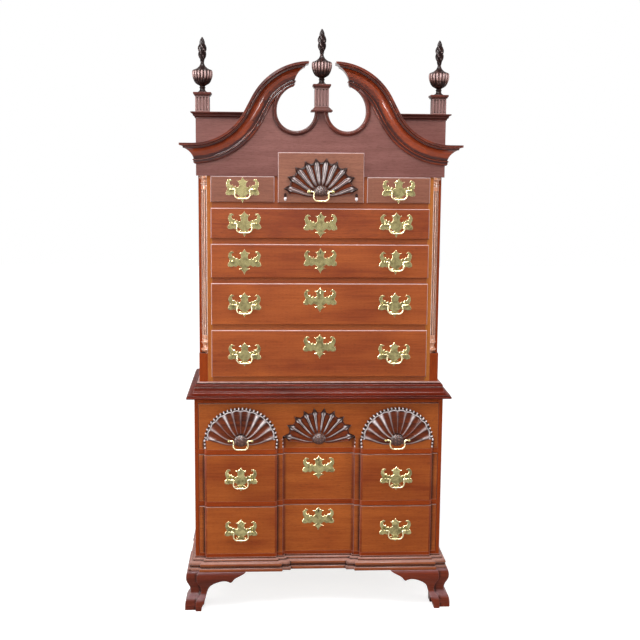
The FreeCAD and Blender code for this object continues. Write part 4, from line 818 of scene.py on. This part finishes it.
# -------------------- drawers
FRONT_TONES = {"upper_1": 0.0, "upper_2": 0.2, "upper_3": -0.6, "upper_4": -1.3,
               "small_left": -0.3, "small_right": 0.0, "shell": 0.5, "lower_1": 0.1,
               "lower_2": -0.3, "lower_shell": 0.6}
SUNK_FACE = (-0.222, -0.218)  # y of the lower fronts' sunk middle
SUNK_FACING, SUNK_OFF = -0.9, 0.02  # y of its normal, and how near its centre is to x = 0
SHOULDER_FRONT = -0.21  # y, the shoulders of the blocks lie before it
SHOULDER_SLANT = 0.25  # least x of a shoulder's normal
# The shoulders of the blocks get painted shade.
SUNK_TONE, SHOULDER_SHADE = 0.9, -2.4
LOCK_FRONT = -0.212  # y, locks lie behind it
LOCK_LEAST_WIDTH = 0.03  # m, posts and nuts behind a front are narrower


def front_shading(name):
    """A front's colour value. The sunk middle of the lower ones is a shade lighter, and painted
    shade lies dark on the shoulders of their blocks."""
    lower = name.startswith("lower_")

    def tone_and_shading(face):
        centre = face.calc_center_median()
        sunk = (face.normal.y < SUNK_FACING and SUNK_FACE[0] < centre.y < SUNK_FACE[1]
                and abs(centre.x) < SUNK_OFF)
        if lower and abs(face.normal.x) > SHOULDER_SLANT and centre.y < SHOULDER_FRONT:
            return FRONT_TONES[name] + SHOULDER_SHADE
        return FRONT_TONES[name] + (SUNK_TONE if lower and sunk else 0.0)
    return tone_and_shading


def fitting_finish(low, high):
    """The locks behind the fronts are iron, the other fittings brass."""
    return 1 if high.x - low.x > LOCK_LEAST_WIDTH and low.y > LOCK_FRONT else 0


def dress_drawers():
    for name in FRONT_TONES:
        body = "drawer_" + name
        top_row = name.startswith("small") or name == "shell"
        lower = name.startswith("lower")
        finish = TOP_WOOD if top_row else BLOCK_WOOD if lower else FRONT_WOOD
        dressed("front_" + name, body, [finish], 0.0008 if lower else 0.0,
                lengthwise(0), tone_and_shading=front_shading(name))
        dressed("box_" + name, body, [PLAIN_WOOD], 0.0005)
        dressed("brasses_" + name, body, [BRASS, IRON], shape=file_plates,
                pick=fitting_finish)


def dress_bails():
    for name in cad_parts:
        if name.startswith("bail_"):
            dressed(name, name, [BAIL_BRASS])


# -------------------- carved shells
CARVING_RINGS, CARVING_SPOKES = 60, 440
CARVING_ROOT = 4.0  # mm that a carving's rim goes into the wood
# Painted shade where a carving meets the wood.
ROOT_SHADE = -3.0


def fan(shape):
    """Half-round carving: a grid opened out about its hub by shape(around, outward), which
    gives a point's place across, up and forward in mm, its painted light and shade, and its
    painted highlight."""
    bm = bmesh.new()
    bmesh.ops.create_grid(bm, x_segments=CARVING_SPOKES, y_segments=CARVING_RINGS, size=0.5)
    tone_and_shading, wear_and_highlight = carving_layers(bm)
    for vert in bm.verts:
        outward = 1.0 - (0.5 - vert.co.y) ** 1.5
        across, up, forward, vert[tone_and_shading], vert[wear_and_highlight] = shape(vert.co.x + 0.5, outward)
        vert.co = Vector((across * MM, -forward * MM, up * MM))
    rim = [edge for edge in bm.edges if edge.is_boundary]
    made = bmesh.ops.extrude_edge_only(bm, edges=rim)
    for item in made["geom"]:
        if isinstance(item, bmesh.types.BMVert):
            item.co.y = CARVING_ROOT * MM
            item[tone_and_shading] = ROOT_SHADE
            item[wear_and_highlight] = 0.0
    loose = [edge for edge in bm.edges if edge.is_boundary]
    bmesh.ops.holes_fill(bm, edges=loose, sides=0)
    bmesh.ops.recalc_face_normals(bm, faces=bm.faces)
    return bm


def oval_reach(half, high, angle):
    """From the middle of an oval to its edge."""
    return half * high / math.hypot(high * math.cos(angle), half * math.sin(angle))


def ray_angle(rim, outward, droop):
    """Direction of a rib: the lowest ones leave the hub below the level and sweep up."""
    lean = droop * (rim / math.pi - 0.5) * 2.0
    return rim + lean * (1.0 - outward) ** 2.2


RAISED_HUB, POINTED_HUB = 24.0, 21.0  # mm, where the ribs and the fingers start
BAIL_ROOM = (13.4, 0.2, 22.0)  # mm forward, slope, and mm below the hub


def raised_shell(half, high, relief, lit_share):
    """Domed shell with thin ribs between scooped flutes, inside a toothed rim. Its list of shares
    gives the painted highlight on each rib. Below the hub it leaves room for the bail."""
    ribs = len(lit_share)

    def shape(around, outward):
        share = around * (ribs - 0.5) - 0.25
        rim = math.pi * around
        angle = ray_angle(rim, outward, math.radians(44.0))
        reach = oval_reach(half, high, rim)
        off = abs(share - round(share))
        flute = math.sin(math.pi * off)
        tooth = abs(math.sin(math.pi * (2.5 * share + 0.5)))
        edge = 0.84 + 0.035 * flute
        band = ease(outward, edge, edge + 0.02)
        teeth = ease(outward, edge + 0.055, edge + 0.075)
        reach *= 1.0 - 0.06 * (1.0 - tooth ** 0.6) * ease(outward, 0.92, 1.0)
        radius = RAISED_HUB + (reach - RAISED_HUB) * outward
        dome = relief * (0.62 + 0.38 * math.sin(math.pi * min(1.0, outward * 0.75 + 0.18)))
        rib_lit = lit_share[min(ribs - 1, max(0, round(share)))]
        wide = 0.06 + 0.07 * rib_lit + 0.04 * ease(outward, 0.6, 0.85)
        rib = math.exp(-(off / wide) ** 2.0)
        inner = dome - (2.0 + 4.5 * outward) * flute ** 0.8 * (1.0 - rib) + 1.2 * rib
        lip = math.exp(-((outward - edge - 0.03) / 0.022) ** 2.0)
        outer = relief * 0.58 + 3.4 * lip + (4.2 * tooth - 1.2) * teeth
        outer -= 5.0 * ease(outward, 0.97, 1.0)
        forward = inner + (outer - inner) * band
        up = radius * math.sin(angle)
        if up < 0.0:
            forward = min(forward, BAIL_ROOM[0] + BAIL_ROOM[1] * (up + BAIL_ROOM[2]))
        # Painted shade in the flutes and the toothed band; painted highlights on the ribs, the
        # lip and the teeth.
        shade = -1.3 + 0.6 * flute * (1.0 - band) - 2.0 * band
        light = rib_lit * (0.45 + 0.55 * ease(outward, 0.15, 0.75))
        stripe = max(0.0, math.sin(2.0 * math.pi * (2.5 * share + 0.2))) ** 1.5
        wear_and_highlight = max(1.2 * rib * light * (1.0 - band), lip, 1.1 * stripe * teeth)
        return radius * math.cos(angle), up, max(forward, 0.6), shade, min(1.0, wear_and_highlight)
    return shape


FINGERS = 10


def pointed_shell(half, high, relief, rise, broad, lines, ground):
    """Shell of raised fingers with points in painted shade and scooped flutes between them,
    ending in a scalloped rim. The ground comes forward by rise at the rim; broad is the fingers'
    share of the width, lines the painted highlight stripes on each side of a finger, ground(rim)
    the flutes' painted shade."""
    def shape(around, outward):
        share = around * FINGERS
        rim = math.pi * (share - 0.25) / (FINGERS - 0.5)
        angle = ray_angle(rim, outward, math.radians(38.0))
        off = abs(share - math.floor(share) - 0.5) * 2.0
        reach = oval_reach(half, high, rim) * (0.86 + 0.14 * (1.0 - off) ** 2.0)
        radius = POINTED_HUB + (reach - POINTED_HUB) * outward
        upright = math.sin(rim) ** 2.0
        wide = broad * (0.7 + 0.3 * upright)
        wide += (0.5 - wide) * ease(outward, 0.72, 0.86)
        inside = off / wide
        lift = math.sqrt(max(0.0, 1.0 - inside ** 2.0))
        end = ease(outward, 0.86, 0.92)
        closing = ease(outward, 0.95, 1.0)
        knob = math.exp(-((inside - 0.62) / 0.3) ** 2.0 - ((outward - 0.86) / 0.03) ** 2.0)
        rim_lip = math.exp(-((outward - 0.93) / 0.035) ** 2.0)
        forward = 0.3 + 1.4 * (1.0 - ease(outward, 0.0, 0.6)) + 2.2 * rim_lip
        forward += relief * (0.35 + 0.65 * ease(outward, 0.0, 0.8)) * lift
        forward += 2.2 * knob + rise * ease(outward, 0.35, 0.9)
        forward = 0.3 + (forward - 0.3) * (1.0 - 0.55 * closing)
        # Fingers: painted highlight stripes and knobs, painted shade toward the points. Flutes:
        # painted shade, darkest at the rim.
        if inside < 1.0:
            stripe = 0.5 - 0.5 * math.cos(2.0 * math.pi * lines * inside)
            stripe_lit = stripe * (0.4 + 0.6 * upright) * (1.0 - ease(outward, 0.8, 0.88))
            shade = -1.2 - 1.6 * (1.0 - stripe) - 2.6 * end
            wear_and_highlight = max(1.1 * stripe_lit * ease(outward, 0.02, 0.25), 1.1 * knob)
        else:
            shade = ground(rim) - 1.2 * math.exp(-((inside - 1.0) / 0.1) ** 2.0)
            shade -= 2.2 * ease(outward, 0.88, 0.97) + 0.8 * (1.0 - ease(outward, 0.3, 0.55))
            wear_and_highlight = 1.1 * knob
        return (radius * math.cos(angle), radius * math.sin(angle), max(forward, 0.25), shade,
                min(1.0, wear_and_highlight))
    return shape


def hub_boss(wide, high, forward, below=1.0):
    """Rounded oval boss over the middle of a shell, tooled all over with small pearls, with
    painted shade in the groove round it and small painted glints on the pearls. Its lower half is
    below times as high as the upper one."""
    bm = bmesh.new()
    bmesh.ops.create_icosphere(bm, subdivisions=6, radius=1.0)
    tone_and_shading, wear_and_highlight = carving_layers(bm)
    for vert in bm.verts:
        pearl = abs(math.sin(8.0 * vert.co.x) * math.sin(8.0 * vert.co.z + 4.0 * vert.co.x))
        ring = math.exp(-((math.hypot(vert.co.x, vert.co.z) - 0.86) / 0.06) ** 2.0)
        vert[tone_and_shading] = -2.6 + 1.6 * pearl - 2.0 * ring
        vert[wear_and_highlight] = 0.2 * pearl ** 4.0
        vert.co *= 1.0 + 0.035 * pearl - 0.05 * ring
        if vert.co.z < 0.0:
            vert.co.z *= below
    bmesh.ops.scale(bm, verts=bm.verts, vec=(wide * MM, forward * MM, high * MM))
    return bm


def end_curls(across, up, size, count):
    """Small upright scroll, a run of beads in painted shade, at each end of a shell's foot; every
    other bead gets a painted highlight.
    """
    bm = bmesh.new()
    tone_and_shading, wear_and_highlight = carving_layers(bm)
    for side in (-1, 1):
        for step in range(count):
            made = bmesh.ops.create_icosphere(bm, subdivisions=3, radius=size * MM)
            bmesh.ops.scale(bm, verts=made["verts"], vec=(1.0, 1.0, 1.5))
            bmesh.ops.translate(bm, verts=made["verts"],
                                vec=(side * (across - 0.5 * step) * MM, -MM,
                                     (up - 2.2 * size * step) * MM))
            for vert in made["verts"]:
                vert[tone_and_shading] = ROOT_SHADE
                vert[wear_and_highlight] = 1.0 if (count - step) % 2 == 1 else 0.0
    return bm


def set_carving(bm, name, body, at, material, seed, nodes=()):
    """Put a carving in its place on a drawer."""
    bmesh.ops.translate(bm, verts=bm.verts, vec=at)
    boards = bm.faces.layers.int.new("board")
    toned = "tone_and_shading" not in bm.verts.layers.float.keys()
    run_grain(bm, seed, boards, lengthwise(0), toned)
    finish_piece(bm, name, body, [material], nodes)


# Painted highlight on each rib, from the left; the right shell takes them mirrored.
RIB_HIGHLIGHTS = [0.5, 0.6, 1.0, 1.0, 0.35, 0.15, 0.3, 0.8, 0.2, 0.5, 0.55]


def flutes_below(rim):
    """Flutes in painted shade, but for the middle one."""
    return 0.3 + 2.4 * math.exp(-((rim - math.pi / 2.0) / 0.13) ** 2.0)


def flutes_above(rim):
    """Flutes going from painted shade in the middle to the plain wood at the foot."""
    return 0.6 - 1.2 * math.sin(rim) ** 2.0


SHELL_X = 0.29025  # m, middle of the raised shells
BLOCK_Y, SUNK_Y, UPPER_Y = -0.2315, -0.2195, -0.2273
LOWER_HUB_Z, UPPER_HUB_Z = 0.648, 1.561


def add_shells():
    low, top = "drawer_lower_shell", "drawer_shell"
    for name, x, lit_share in (("left", -SHELL_X, RIB_HIGHLIGHTS), ("right", SHELL_X, RIB_HIGHLIGHTS[::-1])):
        set_carving(fan(raised_shell(half=135.0, high=120.0, relief=21.0, lit_share=lit_share)),
                    "shell_" + name, low, (x, BLOCK_Y, LOWER_HUB_Z), CARVED_WOOD, 300,
                    ["lower_shells"])
        set_carving(hub_boss(wide=32.0, high=28.0, forward=25.0), "shell_hub_" + name, low,
                    (x, BLOCK_Y, LOWER_HUB_Z - 0.003), HUB_WOOD, 310)
        set_carving(end_curls(across=134.0, up=-2.0, size=3.0, count=5), "shell_curls_" + name,
                    low, (x, BLOCK_Y - 0.012, LOWER_HUB_Z), CARVED_WOOD, 315)
    set_carving(end_curls(across=137.0, up=-2.0, size=3.2, count=5), "shell_curls_middle", low,
                (0, SUNK_Y - 0.008, LOWER_HUB_Z), CARVED_WOOD, 316)
    set_carving(fan(pointed_shell(half=136.0, high=119.0, relief=9.0, rise=12.0, broad=0.36,
                                  lines=1.0, ground=flutes_below)),
                "shell_middle", low, (0, SUNK_Y, LOWER_HUB_Z), CARVED_WOOD, 330,
                ["lower_shells"])
    set_carving(hub_boss(wide=25.0, high=21.0, forward=16.0), "shell_hub_middle", low,
                (0, SUNK_Y, LOWER_HUB_Z - 0.003), HUB_WOOD, 340)
    set_carving(fan(pointed_shell(half=135.0, high=121.0, relief=15.0, rise=0.0, broad=0.68,
                                  lines=1.5, ground=flutes_above)),
                "shell_upper", top, (0, UPPER_Y, UPPER_HUB_Z), CARVED_WOOD, 360,
                ["upper_shell"])
    set_carving(hub_boss(wide=27.0, high=23.0, forward=17.0, below=0.7), "shell_hub_upper", top,
                (0, UPPER_Y, UPPER_HUB_Z - 0.001), HUB_WOOD, 370)
    set_carving(end_curls(across=129.0, up=-14.0, size=5.4, count=2), "shell_curls_upper", top,
                (0, UPPER_Y, UPPER_HUB_Z), CARVED_WOOD, 380)


# -------------------- floor and light
FLOOR_HALF = 14.0  # m
FLOOR_GLOW = (0.78, 0.96)  # near and far from the case, as the camera sees it
FLOOR_NEAR, FLOOR_FAR = 1.0, 6.0  # m
WORLD_GLOW = 0.35  # the light of the world; seen itself, it is white


def add_floor():
    """Pale floor that keeps the shadow under the case, and grows white further out."""
    bm = bmesh.new()
    bmesh.ops.create_grid(bm, x_segments=1, y_segments=1, size=FLOOR_HALF)
    mesh = bpy.data.meshes.new("floor")
    bm.to_mesh(mesh)
    bm.free()
    floor = add_object("floor", mesh)
    material, tree, shader = start_material("pale floor")
    where = on_object(tree)
    faint = spread(tree, noise(tree, where, (3.0, 3.0, 3.0), 2.0), 0.3, 0.7, 0.97, 1.0)
    colour = blend(tree, 1.0, (0.5, 0.5, 0.5, 1), faint, "MULTIPLY")
    tree.links.new(colour, shader.inputs["Base Color"])
    shader.inputs["Roughness"].default_value = 0.9
    shader.inputs["Specular IOR Level"].default_value = 0.1
    shader.inputs["Emission Color"].default_value = (1, 1, 1, 1)
    far = place(tree, "ShaderNodeVectorMath", {0: where}, operation="LENGTH").outputs["Value"]
    even = spread(tree, far, FLOOR_NEAR, FLOOR_FAR, *FLOOR_GLOW)
    tree.links.new(times(tree, seen_rays(tree), even),
                   shader.inputs["Emission Strength"])
    mesh.materials.append(material)


MIDDLE = (0.0, -0.25, 1.1)
# Name, place, what it points at, width, height, brightness of its face; the sparkles light the
# gloss only.
SOFTBOXES = [
    ("overhead softbox", (-0.2, -1.7, 3.9), (0.0, -0.3, 1.0), 2.8, 1.5, 7.0),
    ("left strip", (-2.5, -1.0, 1.4), MIDDLE, 0.45, 2.6, 9.0),
    ("right strip", (2.5, -1.1, 1.4), MIDDLE, 0.3, 2.6, 7.0),
    ("front softbox", (-1.0, -4.6, 2.9), MIDDLE, 2.0, 1.2, 6.0)]
SPARKLES = [
    ("overhead sparkle", (-0.3, -1.3, 3.9), (0.0, -0.3, 1.0), 2.6, 0.5, 60.0),
    ("left sparkle", (-2.4, -1.3, 1.5), MIDDLE, 0.22, 2.4, 60.0),
    ("right sparkle", (2.4, -1.4, 1.5), MIDDLE, 0.16, 2.4, 45.0),
    ("front sparkle", (-0.6, -4.2, 2.9), (0.0, -0.25, 0.8), 2.6, 0.35, 45.0),
    ("high left sparkle", (-2.2, -2.6, 3.5), (0.0, -0.25, 1.8), 1.1, 0.8, 50.0)]


def soft_lamp(name, at, towards, wide, high, glow, gloss_only):
    data = bpy.data.lights.new(name, "AREA")
    data.shape = "RECTANGLE"
    data.size, data.size_y = wide, high
    data.energy = glow * math.pi * wide * high
    lamp = add_object(name, data)
    turn = (Vector(towards) - Vector(at)).to_track_quat("-Z", "Y")
    lamp.matrix_world = Matrix.Translation(at) @ turn.to_matrix().to_4x4()
    lamp.visible_diffuse = not gloss_only


def add_light():
    world = bpy.data.worlds.new("studio")
    world.use_nodes = True
    tree = world.node_tree
    back = tree.nodes["Background"]
    back.inputs["Color"].default_value = (1, 1, 1, 1)
    tree.links.new(spread(tree, seen_rays(tree), 0.0, 1.0, WORLD_GLOW, 1.0),
                   back.inputs["Strength"])
    bpy.context.scene.world = world
    for lamp in SOFTBOXES:
        soft_lamp(*lamp, gloss_only=False)
    for lamp in SPARKLES:
        soft_lamp(*lamp, gloss_only=True)


dress_case()
add_finials()
dress_drawers()
dress_bails()
add_shells()
add_floor()
add_light()
bpy.context.scene.view_settings.view_transform = "Standard"
